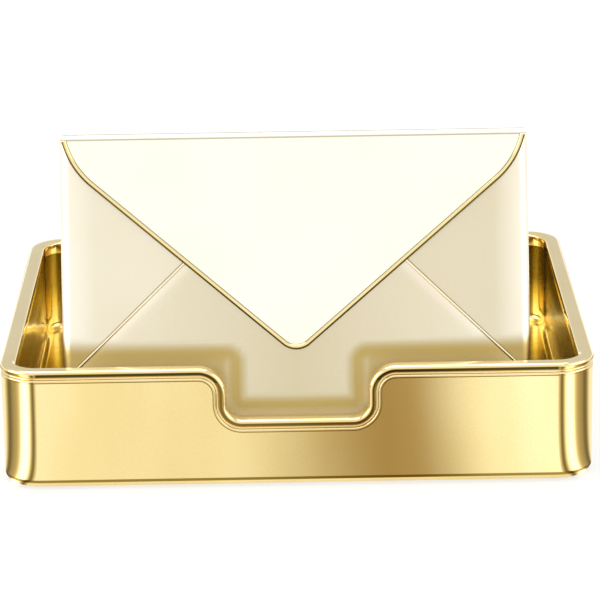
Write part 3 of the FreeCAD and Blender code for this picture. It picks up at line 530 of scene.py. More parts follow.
class Finish(Enum):
    """Finishes of the tray and the case."""

    # Each finish's inner and dark colours are the tones of its painted shade.
    # Drawn brass sheet, polished and lacquered: a bright mirror, tinted warm yellow.
    SHELL = Metal("polished_brass_sheet", "FCE6A6", "F6DB94", (0.07, 0.11), grain=0.6, draw=3.0, mottle=0.8)
    # The same brass inside, less buffed; its walls, which mirror each other, get painted shade.
    LINER = Metal("polished_brass_inside", "F2E09C", "E6CC80", (0.12, 0.2), grain=0.8, grain_depth=0.008,
                  wave=9.0, wave_depth=0.02, draw=12.0, mottle=0.9, inner="CAAD49", dark="7A6420")
    # Solid beading of the rim, buffed to the brightest mirror.
    BEAD = Metal("buffed_brass_beading", "F9E7B4", "F5DFA6", (0.05, 0.09), wave_depth=0.01, dark="4A4020")
    # Pale champagne plating on satin sheet: soft wide highlights.
    LEAF = Metal("satin_champagne_plating", "FCF5E2", "FAF0D9", (0.26, 0.34), grain=0.4, grain_depth=0.0006,
                 wave_depth=0.01, mottle=0.2, inner="D8CCAA", dark="BEA45C")
    # The flap's plating is paler and brighter.
    FLAP = Metal("satin_ivory_plating", "FFFDF0", "FEFBEB", (0.26, 0.34), grain=0.4, grain_depth=0.0006,
                 wave_depth=0.006, mottle=0.2, inner="CFC8A4", dark="8A7D52")
    # Beading of the case, buffed after plating.
    PIPING = Metal("buffed_champagne_beading", "FBEDBA", "F7E6AC", (0.10, 0.16), wave_depth=0.01, dark="5E5226")
    # The seams are plated like the leaves, only brighter.
    SEAM = Metal("bright_champagne_seam", "FFF9E6", "FDF4DA", (0.18, 0.26), wave_depth=0.006, dark="7E7138")
    # Stamped brass hinge and rivets, tumbled to a satin.
    HINGE = Metal("tumbled_brass", "E2C27A", "D6B263", (0.22, 0.34), grain=0.6, wave_depth=0.0)
    # Zinc-plated screws and nuts: cool grey, slightly mottled.
    ZINC = Metal("zinc_plated_steel", "C9CDD0", "B4B9BD", (0.28, 0.42), grain=0.5, wave=6.0, wave_depth=0.0)
    RUBBER = Rubber()

    def material(self) -> Material:
        """The finish's material, made at its first use."""
        found = bpy.data.materials.get(self.value.name)
        return found or self.value.build()


def dress(obj: Object, finish: Finish) -> None:
    """Gives an object a finish in all its slots."""
    material = finish.material()
    if not obj.material_slots:
        obj.data.materials.append(material)
    for slot in obj.material_slots:
        slot.material = material


@dataclass
class SubAssembly:
    """Pieces that ride on one body of the frame."""

    body: str

    def mount(self, obj: Object, node: str, finish: Finish, slot: str) -> None:
        """Dresses a new piece, lets it ride and stand for its CAD node.

        Args:
            obj: Finished piece, at the origin.
            node: CAD node that it replaces.
            finish: Its finish.
            slot: Name of a material slot, not used.
        """
        dress(obj, finish)
        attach(obj, self.body)
        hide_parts(node)
        LOG.info("%s: %d faces on %s", obj.name, len(obj.data.polygons), self.body)

    def keep(self, finish: Finish, *nodes: str) -> None:
        """Dresses CAD nodes that stay as they are."""
        for node in nodes:
            dress(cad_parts[node], finish)
            LOG.info("%s: kept from the frame", node)


# ---------------------------------------------------------------- tray

@dataclass
class Tray(SubAssembly):
    """Two drawn skins under one beaded rim, with a finger notch in the front."""

    body: str = "tray"
    width: float = 330.0
    depth: float = 256.0
    stand: float = 1.0
    rim_top: float = 70.0
    corner: float = 21.5
    bead_width: float = 8.8
    bead_height: float = 3.8
    fillet_height: float = 1.4
    band_height: float = 1.9
    groove: float = 1.2
    lip: float = 0.3
    outer_round: float = 1.9
    inner_round: float = 0.9
    inner_ease: float = 1.4
    ease_slope: float = 25.0
    tongue: float = 2.5
    tongue_gap: float = 0.1
    sheet: float = 0.8
    shell_edge: float = 5.0
    floor_height: float = 12.5
    floor_edge: float = 4.5
    notch_width: float = 79.2
    notch_drop: float = 30.4
    notch_upper: float = 15.0
    notch_lower: float = 9.0
    # Heights of the rings round the shell's foot, and how dark the painted dark reflection between them is.
    painted_line_heights: tuple[float, float, float, float] = (4.1, 4.6, 5.7, 6.2)
    painted_line_shade: float = 0.85
    # Share of the rim's painted shade kept at the corners and in the notch.
    corner_shade_share: float = 0.35
    notch_shade_share: float = 0.9
    # Depths on the bead between which its painted dark reflection sets in, and those between which it turns bright
    # again.
    darkens: tuple[float, float] = (1.4, 1.8)
    brightens: tuple[float, float] = (3.45, 3.75)
    # Painted shade in the grooves and on the band below the bead.
    groove_shade: float = 0.9
    band_shade: float = 0.08
    # Painted shade inside adds up from these: how much, right of which X, and between which two Y.
    wall_shade_areas: tuple[tuple[float, float, float, float], ...] = (
        (0.32, -165.0, -128.0, 128.0), (0.46, -165.0, 100.0, 128.0), (0.22, 0.0, -128.0, 128.0),
        (0.3, 140.0, -128.0, 110.0))
    wall_shade_rise: float = 22.0
    wall_shade_rings: tuple[float, ...] = (19.5, 23.0, 27.0, 33.0, 42.0, 52.0)

    @property
    def band(self) -> float:
        """Height of the whole moulding."""
        return self.bead_height + self.fillet_height + self.band_height

    def build(self) -> None:
        """Builds both skins and the rim, and dresses the rest of the tray."""
        shell = self.skin("tray_shell", self.lip, self.stand, self.shell_edge)
        # Painted dark reflection: a dark band round the foot of the shell.
        rings(shell, Axis.Z, *self.painted_line_heights)
        slack = 0.1
        first, last = self.painted_line_heights[0] + slack, self.painted_line_heights[3] - slack
        paint_shade(shell, lambda place: self.painted_line_shade if first < place.z / MM < last else 0.0)
        self.mount(shell, "outer_shell", Finish.SHELL, "gold_shell")
        inset = self.bead_width - self.lip - self.sheet
        low = self.stand + self.floor_height - self.sheet
        liner = self.skin("tray_liner", inset, low, self.floor_edge + self.sheet)
        rings(liner, Axis.Z, *self.wall_shade_rings)
        paint_shade(liner, self.wall_shade)
        self.mount(liner, "inner_liner", Finish.LINER, "gold_liner")
        self.mount(self.rim(), "rim_bead", Finish.BEAD, "gold_bead")
        self.keep(Finish.HINGE, "case_socket")
        self.keep(Finish.ZINC, "floor_posts", "post_screws", "socket_screws", "socket_nuts")
        self.keep(Finish.RUBBER, "socket_pad", "front_left_foot", "front_right_foot", "rear_left_foot",
                  "rear_right_foot")

    def skin(self, name: str, inset: float, low: float, edge: float) -> Object:
        """Drawn pan, open at the top, with the notch in its front wall.

        Args:
            name: Name of the piece.
            inset: How far it stands in from the tray's outline.
            low: Height of its underside.
            edge: Outer radius along the bottom.

        Returns:
            The finished pan.
        """
        x, y, top = self.width / 2 - inset, self.depth / 2 - inset, self.rim_top - self.band
        obj = block(name, mm(-x, -y, low), mm(x, y, top))
        with editing(obj):
            pick_edges(obj, lambda a, b: abs(a.z - b.z) > NEAR)
            bevel(self.corner - inset, 20)
            pick_edges(obj, lambda a, b: max(a.z, b.z) < low * MM + NEAR)
            bevel(edge, 8)
        with editing(obj, Pick.FACE):
            pick_faces(obj, lambda middle, normal: middle.z > top * MM - NEAR)
            bpy.ops.mesh.delete(type="FACE")
        finish_with(obj, "SOLIDIFY", thickness=self.sheet * MM, offset=-1, use_even_offset=True)
        carve(obj, self.notch_tool())
        smooth(obj)
        return obj

    def notch_tool(self) -> Object:
        """T-shaped cutter with the notch's outline, through the front wall only."""
        half = self.notch_width / 2 + self.band
        top = self.rim_top - self.band
        bottom = top - self.notch_drop
        before, behind, wide, high = 5.0, 25.0, 30.0, 10.0
        obj = block("notch_tool", mm(-half, -self.depth / 2 - before, bottom), mm(half, behind - self.depth / 2, top))
        with editing(obj, Pick.FACE):
            pick_faces(obj, lambda middle, normal: normal.z > 0.9)
            extrude(mm(0, 0, high))
            for side in Side:
                pick_faces(obj, lambda middle, normal: normal.x * side.value > 0.9 and middle.z > top * MM)
                extrude(mm(side.value * wide, 0, 0))
            bpy.ops.mesh.select_mode(type="EDGE")
            for height, radius, steps in ((top, self.notch_upper - self.band, 12),
                                          (bottom, self.notch_lower + self.band, 16)):
                pick_edges(obj, lambda a, b: abs(a.y - b.y) > NEAR and abs(abs(a.x) - half * MM) < NEAR
                           and abs(a.z - height * MM) < NEAR)
                bevel(radius, steps)
        outwards(obj)
        return obj

    def rim(self) -> Object:
        """Moulding drawn in section at the notch's middle and swept round the left half of the rim."""
        front, back = -self.depth / 2, -self.depth / 2 + self.bead_width
        top = self.rim_top - self.notch_drop
        low = top - self.bead_height
        ledge, under = low - self.fillet_height, top - self.band
        side = self.lip + self.sheet + self.tongue_gap
        bulge, band_round = self.fillet_height / 2, self.groove - self.lip
        ease = radians(self.ease_slope)
        knee = self.inner_round * cos(ease) + self.inner_ease * (sin(ease) + 1 - cos(ease))
        crown = self.inner_round * (1 - sin(ease)) + self.inner_ease * (cos(ease) + sin(ease))
        pen = Pen("tray_rim", mm(0, back - crown, top))
        pen.section((front + self.outer_round, top), (front + self.outer_round, top - self.outer_round, 90, 9),
                    (front, low + self.groove), (front + self.groove, low + self.groove, 90, 7),
                    (front + self.groove, low - bulge, 180, 10), (front + self.groove, ledge - band_round, 90, 6),
                    (front + self.lip, under + self.lip), (front + 2 * self.lip, under + self.lip, 90, 3),
                    (front + side, under), (front + side, under - self.tongue), (back - side, under - self.tongue),
                    (back - side, under), (back - self.lip, under), (back - self.lip, under + self.lip, 90, 3),
                    (back, top - knee), (back - self.inner_round, top - knee, 90 - self.ease_slope, 5))
        pen.step(mm(0, -cos(ease), sin(ease)) * self.inner_ease)
        pen.section((back - crown, top - self.inner_ease, self.ease_slope, 3))
        pen.close().paint_shade(self.rim_shade)
        half = self.notch_width / 2
        x, y = self.width / 2 - self.corner, self.depth / 2 - self.corner
        pen.step(mm(self.notch_lower - half, 0, 0))
        pen.turn(mm(self.notch_lower - half, 0, top + self.notch_lower), Axis.Y, 90, 16)
        pen.step(mm(0, 0, self.notch_drop - self.notch_lower - self.notch_upper))
        pen.turn(mm(-half - self.notch_upper, 0, self.rim_top - self.notch_upper), Axis.Y, -90, 20)
        pen.step(mm(half + self.notch_upper - x, 0, 0))
        pen.turn(mm(-x, -y, 0), Axis.Z, -90, 24)
        pen.step(mm(0, 2 * y, 0))
        pen.turn(mm(-x, y, 0), Axis.Z, -90, 24)
        pen.step(mm(x, 0, 0))
        obj = pen.lift()
        mirrored(obj)
        # Less painted shade at the rim's corners and a little less in the notch.
        past = 1.0
        for mark, vertex in zip(obj.data.attributes[SHADE_ATTRIBUTE].data, obj.data.vertices):
            across, along, height = abs(vertex.co.x) / MM, abs(vertex.co.y) / MM, vertex.co.z / MM
            if across > x + past and along > y + past:
                mark.value *= self.corner_shade_share
            elif across < half + self.band + past and height < self.rim_top - self.band - past:
                mark.value *= self.notch_shade_share
        take(obj)
        bpy.ops.object.shade_smooth_by_angle(angle=radians(BEAD_ANGLE))
        return obj

    def wall_shade(self, place: Vector) -> float:
        """Painted shade inside: none on the floor, more up the walls, most on the right and at the back."""
        x, y, z = place / MM
        most = sum(share for share, left, front, back in self.wall_shade_areas if x > left and front < y < back)
        return most * clamp((z - self.stand - self.floor_height - self.floor_edge) / self.wall_shade_rise)

    def rim_shade(self, place: Vector) -> float:
        """Painted shade over the moulding's section, at the middle of the notch: painted dark reflections low on the
        bead and in its grooves.

        Args:
            place: Point of the section.

        Returns:
            None on the crowns, half on the inner face, all of it low on the bead and in the grooves.
        """
        slack = 0.06
        inward = place.y / MM + self.depth / 2
        below = self.rim_top - self.notch_drop - place.z / MM
        if inward > self.bead_width - slack:
            return 0.5 if below > self.inner_round + self.inner_ease else 0.0
        if inward > 2 * self.groove:
            return 0.0
        ledge = self.bead_height + self.fillet_height
        if below > self.band - self.lip - slack or abs(below - ledge) < slack:
            return self.groove_shade
        if below > self.bead_height + 2 * slack:
            return self.band_shade if below < ledge else 0.0
        (dark, darkest), (darker, bright) = self.darkens, self.brightens
        return clamp(min((below - dark) / (darkest - dark), (bright - below) / (bright - darker)))


# ---------------------------------------------------------------- letter case

@dataclass
class CaseShape:
    """Sizes and lines shared by the case and its flap, in the case's own upright frame, in millimetres."""

    width: float = 262.6
    height: float = 173.5
    depth: float = 14.0
    sheet: float = 1.0
    lean: float = 18.25
    set_back: float = -110.0
    foot: float = 16.0
    side_round: float = 6.0
    bottom_round: float = 2.5
    nest: float = 1.1
    lap: float = 10.0
    seam_side: float = 38.8
    seam_angle: float = 43.8
    seam_width: float = 1.8
    seam_height: float = 0.5
    throat: float = 14.0
    throat_round: float = 14.0
    flap_drop: float = 122.2
    flap_lift: float = 9.9
    flap_tip: float = 12.0
    flap_shoulder: float = 48.0
    flap_inset: float = 1.3
    flap_corner_drop: float = 2.7

    # Outline of the tray's front wall as seen on the leaves, then the painted reflection and shade of the wall there:
    # how far above it reaches, where it is full and how dark it gets.
    wall_line: float = 44.1
    notch_line: float = 15.2
    notch_half: float = 39.6
    notch_round: float = 9.0
    wall_reflection_reach: float = 16.5
    wall_reflection_full: float = 6.0
    wall_reflection_most: float = 0.95
    # Share of the painted reflection taken off at the wall's line, that at the notch, and how far up it is.
    lightened: float = 0.12
    lightened_notch: float = 0.3
    lightened_reach: float = 4.5
    strips_up: tuple[float, ...] = tuple(range(8, 62, 2))
    strips_across: tuple[float, ...] = (*range(-42, 43, 3), *range(-122, -96, 5), *range(97, 123, 5))

    def wall_reflection_shade(self, place: Vector) -> float:
        """Painted reflection and shade of the tray's front wall on the leaves, low behind the wall.

        Args:
            place: Point of a leaf, upright.

        Returns:
            The most at the wall's outline and below it, fading out above it and into its notch.
        """
        x, z = abs(place.x) / MM, place.z / MM
        away, lightened = z - self.wall_line, self.lightened
        if x < self.notch_half:
            lightened = self.lightened_notch
            beside = self.notch_half - x if away <= 0 else hypot(self.notch_half - x, away)
            above = z - self.notch_line
            away = min(beside, above)
            if max(beside, above) < self.notch_round:
                away = self.notch_round - hypot(self.notch_round - beside, self.notch_round - above)
        share = clamp((self.wall_reflection_reach - away) / (self.wall_reflection_reach - self.wall_reflection_full))
        share = share * share * (3 - 2 * share)
        return self.wall_reflection_most * share * (1 - lightened * clamp(1 - max(0.0, away) / self.lightened_reach))

    def age(self, obj: Object, least_shade: Callable[[float, float], float]) -> None:
        """Cuts a leaf into strips and notes the painted shade on them.

        Args:
            obj: Leaf, upright.
            least_shade: Gives its least painted shade at a distance from the middle and a height, in millimetres.
        """
        rings(obj, Axis.Z, *self.strips_up)
        rings(obj, Axis.X, *self.strips_across)
        paint_shade(obj, lambda place: max(self.wall_reflection_shade(place), least_shade(abs(place.x) / MM, place.z / MM)))

    @property
    def side(self) -> float:
        """Where the front's flat part ends at the side."""
        return self.width / 2 - self.side_round

    @property
    def corner(self) -> tuple[float, float]:
        """Upper right corner of the flap."""
        return (self.width / 2 - self.flap_inset, self.height - self.flap_corner_drop)

    @property
    def slope(self) -> float:
        """Slope of the flap's straight edges, in radians."""
        across, high = self.corner
        rise = high - self.height + self.flap_drop - self.flap_tip
        reach = hypot(rise, across)
        return acos((self.flap_lift - self.flap_tip) / reach) - atan2(across, rise)

    @property
    def apex(self) -> float:
        """Height at which the flap's straight edges would meet."""
        return self.height - self.flap_drop - self.flap_tip * (1 / cos(self.slope) - 1)

    def mouth(self, x: float) -> float:
        """Height of the pocket's mouth at a distance from the middle."""
        return self.apex + self.throat / cos(self.slope) + abs(x) * tan(self.slope)

    def seam(self, x: float, lap: float = 0.0) -> float:
        """Height of the seam, or of the lap under it, at a distance from the middle."""
        angle = radians(self.seam_angle)
        return self.seam_side + (self.side - abs(x)) * tan(angle) - lap / cos(angle)

    def meeting(self, lap: float = 0.0) -> float:
        """Distance from the middle at which the seam, or its lap, meets the mouth."""
        rise = tan(self.slope) + tan(radians(self.seam_angle))
        return (self.seam(0, lap) - self.mouth(0)) / rise

    def set_in_tray(self, obj: Object, angle: float = SHEET_ANGLE) -> Object:
        """Smooths an upright piece, leans it back and puts it at its place in the tray."""
        smooth(obj, angle)
        lean = radians(self.lean)
        obj.rotation_euler = (-lean, 0, 0)
        obj.location = mm(0, self.set_back, self.foot + self.depth * sin(lean))
        settle(obj)
        return obj


@dataclass
class LetterCase(SubAssembly):
    """Envelope-shaped pocket: two side leaves, a bottom leaf lapped over them, and their seams."""

    body: str = "letter_case"
    shape: CaseShape = field(default_factory=CaseShape)
    # Width and rise of each step of the bottom leaf's soft crown, and how squarely its front looks ahead.
    crown: Pairs = ((0.6, 0.17), (0.9, 0.19), (1.4, 0.19), (2.2, 0.16), (3.4, 0.1), (5.0, 0.04))
    ahead: float = 0.999
    # How far a cutter runs past what it cuts.
    past: float = 5.0
    top_gap: float = 1.5
    # Painted shade on the side leaves: its share on the left and on the right leaf, and over what width it fades in
    # from their outer edge.
    side_shade: tuple[float, float] = (0.2, 0.36)
    side_shade_fade: float = 14.0
    leaf_front: float = -0.7
    leaf_blank: float = 120.0
    # Painted shade on the bottom leaf: its share in the middle, how much less at the sides, over what width that
    # falls, and over what height it fades in below the seams.
    low_shade: float = 0.5
    low_shade_loss: float = 0.3
    low_shade_reach: float = 110.0
    low_shade_fade: float = 8.0
    seam_round: float = 0.75
    # Painted shadow at the seam bead's feet: how far it reaches from its upper and its lower edge, and its share at
    # the lower foot.
    seam_dark: tuple[float, float] = (0.52, 0.16)
    seam_foot_shade: float = 0.45

    def build(self) -> None:
        """Builds the front of the case and dresses its back and hinge."""
        for side in Side:
            name = side.name.lower()
            self.mount(self.side_leaf(side), name + "_leaf", Finish.LEAF, "cream_leaf")
            self.mount(self.seam_bead(side), name + "_seam_bead", Finish.SEAM, "cream_seam")
        self.mount(self.bottom_leaf(), "bottom_leaf", Finish.LEAF, "cream_leaf")
        self.keep(Finish.LEAF, "case_back")
        self.keep(Finish.HINGE, "leaf_rivets", "case_hinge_leaf", "case_hinge_rivets", "hinge_pin")

    def side_leaf(self, side: Side) -> Object:
        """Side leaf with its soft round outer edge and the flange along the case's side."""
        case = self.shape
        sign = side.value
        outer, edge, inner = case.width / 2, case.side, case.meeting(case.lap) - self.past
        low, top = case.nest, case.height - self.top_gap

        def at(x: float, y: float) -> Vector:
            """Point of the section."""
            return mm(sign * x, y, low)

        pen = Pen(side.name.lower() + "_case_leaf", at(outer, case.depth))
        pen.to(at(outer, case.side_round))
        pen.turn(at(edge, case.side_round), Axis.Z, -90 * sign, 12)
        pen.to(at(inner, 0), at(inner, case.sheet), at(edge, case.sheet))
        pen.turn(at(edge, case.side_round), Axis.Z, 90 * sign, 10)
        pen.to(at(outer - case.sheet, case.depth), at(outer, case.depth))
        pen.fill().step(mm(0, 0, top - low))
        obj = pen.lift()
        strip, knee = edge - case.lap, case.meeting(case.lap)
        high, under, far = top + self.past, low - self.past, inner - self.past
        reach = min((high - case.mouth(0)) / tan(case.slope), edge)
        points = [(strip, under), (strip, case.seam(strip, case.lap)), (knee, case.mouth(knee)),
                  (reach, case.mouth(reach)), (reach, high), (far, high), (far, under)]
        carve(obj, self.prism([mm(sign * x, 0, z) for x, z in points], -self.past, case.side_round))
        least_shade = self.side_shade[side is Side.RIGHT]
        case.age(obj, lambda x, z: least_shade * clamp((edge - x) / self.side_shade_fade))
        return case.set_in_tray(obj)

    def prism(self, points: list[Vector], front: float, back: float) -> Object:
        """Closed cutter with an outline in X and Z, from one depth to another."""
        start = [point + mm(0, front, 0) for point in points]
        pen = Pen("prism", start[0])
        pen.to(*start[1:], start[0])
        pen.fill().step(mm(0, back - front, 0))
        return pen.lift()

    def seam_bead(self, side: Side) -> Object:
        """Half-round bead along the upper edge of the bottom leaf."""
        case = self.shape
        angle = radians(case.seam_angle)
        edge, meet = case.side, case.meeting()
        wide = case.seam_width
        points = [(edge, case.seam(edge)), (edge, case.seam(edge) + wide / cos(angle)),
                  (meet + wide * sin(angle), case.mouth(meet) + wide * cos(angle)),
                  (meet, case.mouth(meet))]
        front = case.sheet + case.seam_height
        obj = self.prism([mm(side.value * x, 0, z) for x, z in points], -front, 0)
        obj.name = side.name.lower() + "_case_seam"
        with editing(obj):
            pick_edges(obj, lambda a, b: max(a.y, b.y) < -front * MM + NEAR and (a - b).length > 10 * wide * MM)
            bevel(self.seam_round, 6)

        def painted_shade(place: Vector) -> float:
            """Painted shadow along the bead's upper foot, half as dark along its lower foot."""
            up = (place.z / MM - case.seam(place.x / MM)) * cos(angle)
            upper, lower = self.seam_dark
            return 1.0 if up > wide - upper else self.seam_foot_shade if up < lower else 0.0

        paint_shade(obj, painted_shade)
        return case.set_in_tray(obj, BEAD_ANGLE)

    def bottom_leaf(self) -> Object:
        """Lower leaf: folded from a strip, cut to its outline, with a softly crowned front."""
        case = self.shape
        edge, thick, front = case.side, case.sheet, self.leaf_front
        r, high, past = case.bottom_round, self.leaf_blank, self.past
        pen = Pen("bottom_case_leaf", mm(-edge, case.depth, 0))
        pen.section((front + r, 0), (front + r, r, -90, 8), (front, high), (front + thick, high),
                    (front + thick, r), (front + r, r, 90, 6), (case.depth, thick), (case.depth, 0))
        pen.fill().step(mm(2 * edge, 0, 0))
        obj = pen.lift()
        meet, low = case.meeting(), case.seam(edge)
        throat = case.mouth(0) + case.throat_round / cos(case.slope)
        start = mm(0, -past, throat - case.throat_round)
        pen = Pen("prism", start)
        pen.turn(mm(0, 0, throat), Axis.Y, -degrees(case.slope), 10)
        pen.to(mm(meet, -past, case.mouth(meet)), mm(edge, -past, low), mm(edge + 1, -past, low),
               mm(edge + 1, -past, -past), mm(0, -past, -past), start)
        self.trim(obj, pen, case.depth + 3 * past)
        with editing(obj, Pick.FACE):
            pick_faces(obj, lambda middle, normal: normal.y < -self.ahead)
            for width, rise in self.crown:
                bpy.ops.mesh.inset(thickness=width * MM, depth=rise * MM, use_even_offset=True)

        def least_shade(x: float, z: float) -> float:
            """Most painted shade in the middle, less to the sides, and none right under the seams."""
            least = self.low_shade - self.low_shade_loss * min(1.0, x / self.low_shade_reach)
            return least * clamp((case.seam(x) - z) / self.low_shade_fade)

        case.age(obj, least_shade)
        return case.set_in_tray(obj)

    def trim(self, obj: Object, pen: Pen, depth: float) -> None:
        """Keeps of a piece what lies behind an outline of its right half, and behind its mirror image.

        Args:
            obj: Piece to trim.
            pen: Pen that has drawn the outline before the piece, from the middle plane and back to it.
            depth: How far back the outline reaches.
        """
        pen.fill().step(mm(0, depth, 0))
        tool = pen.lift()
        with editing(tool, Pick.FACE):
            pick_faces(tool, lambda middle, normal: abs(middle.x) < WELD)
            bpy.ops.mesh.delete(type="FACE")
        mirrored(tool)
        carve(obj, tool, keep=True)


@dataclass
class Flap(LetterCase):
    """Pointed flap, folded back into a web at the top, with piping along its edge."""

    body: str = "flap"
    sheet: float = 1.2
    stand_off: float = 1.7
    fold: float = 3.4
    top_round: float = 1.6
    bead_width: float = 3.0
    bead_height: float = 2.2
    bead_round: float = 1.3
    web_end: float = 9.9
    cutter_front: float = -8.0
    cutter_depth: float = 40.0
    tuck: float = 0.4
    # Rings, reach and share of the painted shade along the fold's crease and along its crest, and how far below the
    # top the crest's begins.
    crease_rings: tuple[float, ...] = (-0.5, -0.2, 0.2, 0.5)
    crease_reach: float = 0.3
    crease_shade: float = 0.6
    crest_rings: tuple[float, ...] = (0.4, 0.8)
    crest_reach: float = 0.5
    crest_shade: float = 0.55
    crest_drop: float = 0.25
    # Reach of the full painted shadow up the piping's outer side, of its lighter part, and at the inner corner.
    piping_dark: tuple[float, float, float] = (0.8, 1.1, 0.3)

    def build(self) -> None:
        """Builds the panel and its piping, and dresses the hinge under it."""
        self.mount(self.panel(), "flap_panel", Finish.FLAP, "cream_flap")
        self.mount(self.piping(), "flap_edge_bead", Finish.PIPING, "cream_seam")
        self.keep(Finish.HINGE, "flap_hinge_leaf", "flap_hinge_rivets")

    def shoulder(self) -> tuple[Vector, float, float]:
        """Round shoulder of the flap's edge.

        Returns:
            Its centre, the length of the straight edge measured from the apex to where the shoulder
            begins, and the shoulder's turn in degrees up to the fold.
        """
        case = self.shape
        along = Vector((cos(case.slope), sin(case.slope)))
        inward = Vector((-sin(case.slope), cos(case.slope)))
        apex = Vector((0.0, case.apex))
        reach = Vector(case.corner) - apex
        lift = reach.dot(inward)
        run = reach.dot(along) - sqrt(2 * case.flap_shoulder * lift - lift * lift)
        centre = apex + along * run + inward * case.flap_shoulder
        high = case.height - self.fold
        end = degrees(asin((high - centre.y) / (case.flap_shoulder - self.bead_width)))
        return mm(centre.x, 0, centre.y), run, end + 90 - degrees(case.slope)

    def edge_run(self, pen: Pen) -> None:
        """Carries a pen from the tip along the straight edge and round the shoulder.

        Args:
            pen: Pen that stands at the tip, with what it sweeps selected.
        """
        case = self.shape
        centre, run, turn = self.shoulder()
        tip = mm(0, 0, case.height - case.flap_drop + case.flap_tip)
        straight = run - case.flap_tip * tan(case.slope)
        pen.turn(tip, Axis.Y, -degrees(case.slope), 14)
        pen.step(mm(cos(case.slope), 0, sin(case.slope)) * straight)
        pen.turn(centre, Axis.Y, -turn, 18)

    def panel(self) -> Object:
        """Panel bent from a strip and cut to the flap's outline."""
        case = self.shape
        half = case.width / 2 - case.flap_inset
        back = -self.stand_off
        front = back - self.sheet
        top, low = case.height, case.height - case.flap_drop - self.past
        fold = self.fold
        pen = Pen("case_flap", mm(-half, front, low))
        pen.section((front, top - fold), (front + fold, top - fold, -90, 10), (self.web_end, top),
                    (self.web_end, top - self.sheet), (front + fold, top - self.sheet),
                    (front + fold, top - fold, 90, 8), (back, low), (front, low))
        pen.fill().step(mm(2 * half, 0, 0))
        obj = pen.lift()
        over, inner, before = 0.05, self.top_round, self.cutter_front
        start = mm(0, before, top - case.flap_drop + self.bead_width - self.tuck)
        pen = Pen("prism", start)
        self.edge_run(pen)
        pen.to(Vector((pen.tip.x, pen.tip.y, (top - fold) * MM)), mm(half + over, before, top - fold),
               mm(half + over, before, top - inner))
        pen.turn(mm(half - inner, before, top - inner), Axis.Y, -90, 8)
        pen.to(mm(0, before, top + over), start)
        self.trim(obj, pen, self.cutter_depth)
        crease, crest = top - fold, front + fold
        rings(obj, Axis.Z, *(crease + step for step in self.crease_rings))
        rings(obj, Axis.Y, *(crest + step for step in self.crest_rings))

        def painted_shade(place: Vector) -> float:
            """Painted shade along the fold's lower crease and along its crest."""
            y, z = place.y / MM, place.z / MM
            if abs(z - crease) < self.crease_reach:
                return self.crease_shade
            return self.crest_shade if z > top - self.crest_drop and y < crest + self.crest_reach else 0.0

        paint_shade(obj, painted_shade)
        return case.set_in_tray(obj)

    def piping(self) -> Object:
        """Round-fronted bead swept along the right edge from the tip to the fold, and mirrored."""
        case = self.shape
        low = case.height - case.flap_drop
        high = low + self.bead_width
        back = -self.stand_off
        front = back - self.bead_height
        r = self.bead_round
        pen = Pen("flap_piping", mm(0, back, low))
        pen.section((front + r, low), (front + r, low + r, -90, 7), (front, high - r), (front + r, high - r, -90, 7),
                    (back, high), (back, low))

        def painted_shade(place: Vector) -> float:
            """Painted shadow under the bead's outer side, and in the corner where it meets the panel."""
            up, down = place.z / MM - low, high - place.z / MM
            dark, half, inside = self.piping_dark
            return 1.0 if up < dark or down < inside else 0.6 if up < half else 0.0

        pen.close().paint_shade(painted_shade)
        self.edge_run(pen)
        obj = pen.lift()
        with editing(obj, Pick.VERT):
            select(True)
            bpy.ops.mesh.bisect(plane_co=mm(0, 0, case.height - self.fold), plane_no=(0, 0, 1),
                                use_fill=True, clear_outer=True)
        mirrored(obj)
        return case.set_in_tray(obj, BEAD_ANGLE)


# ---------------------------------------------------------------- studio

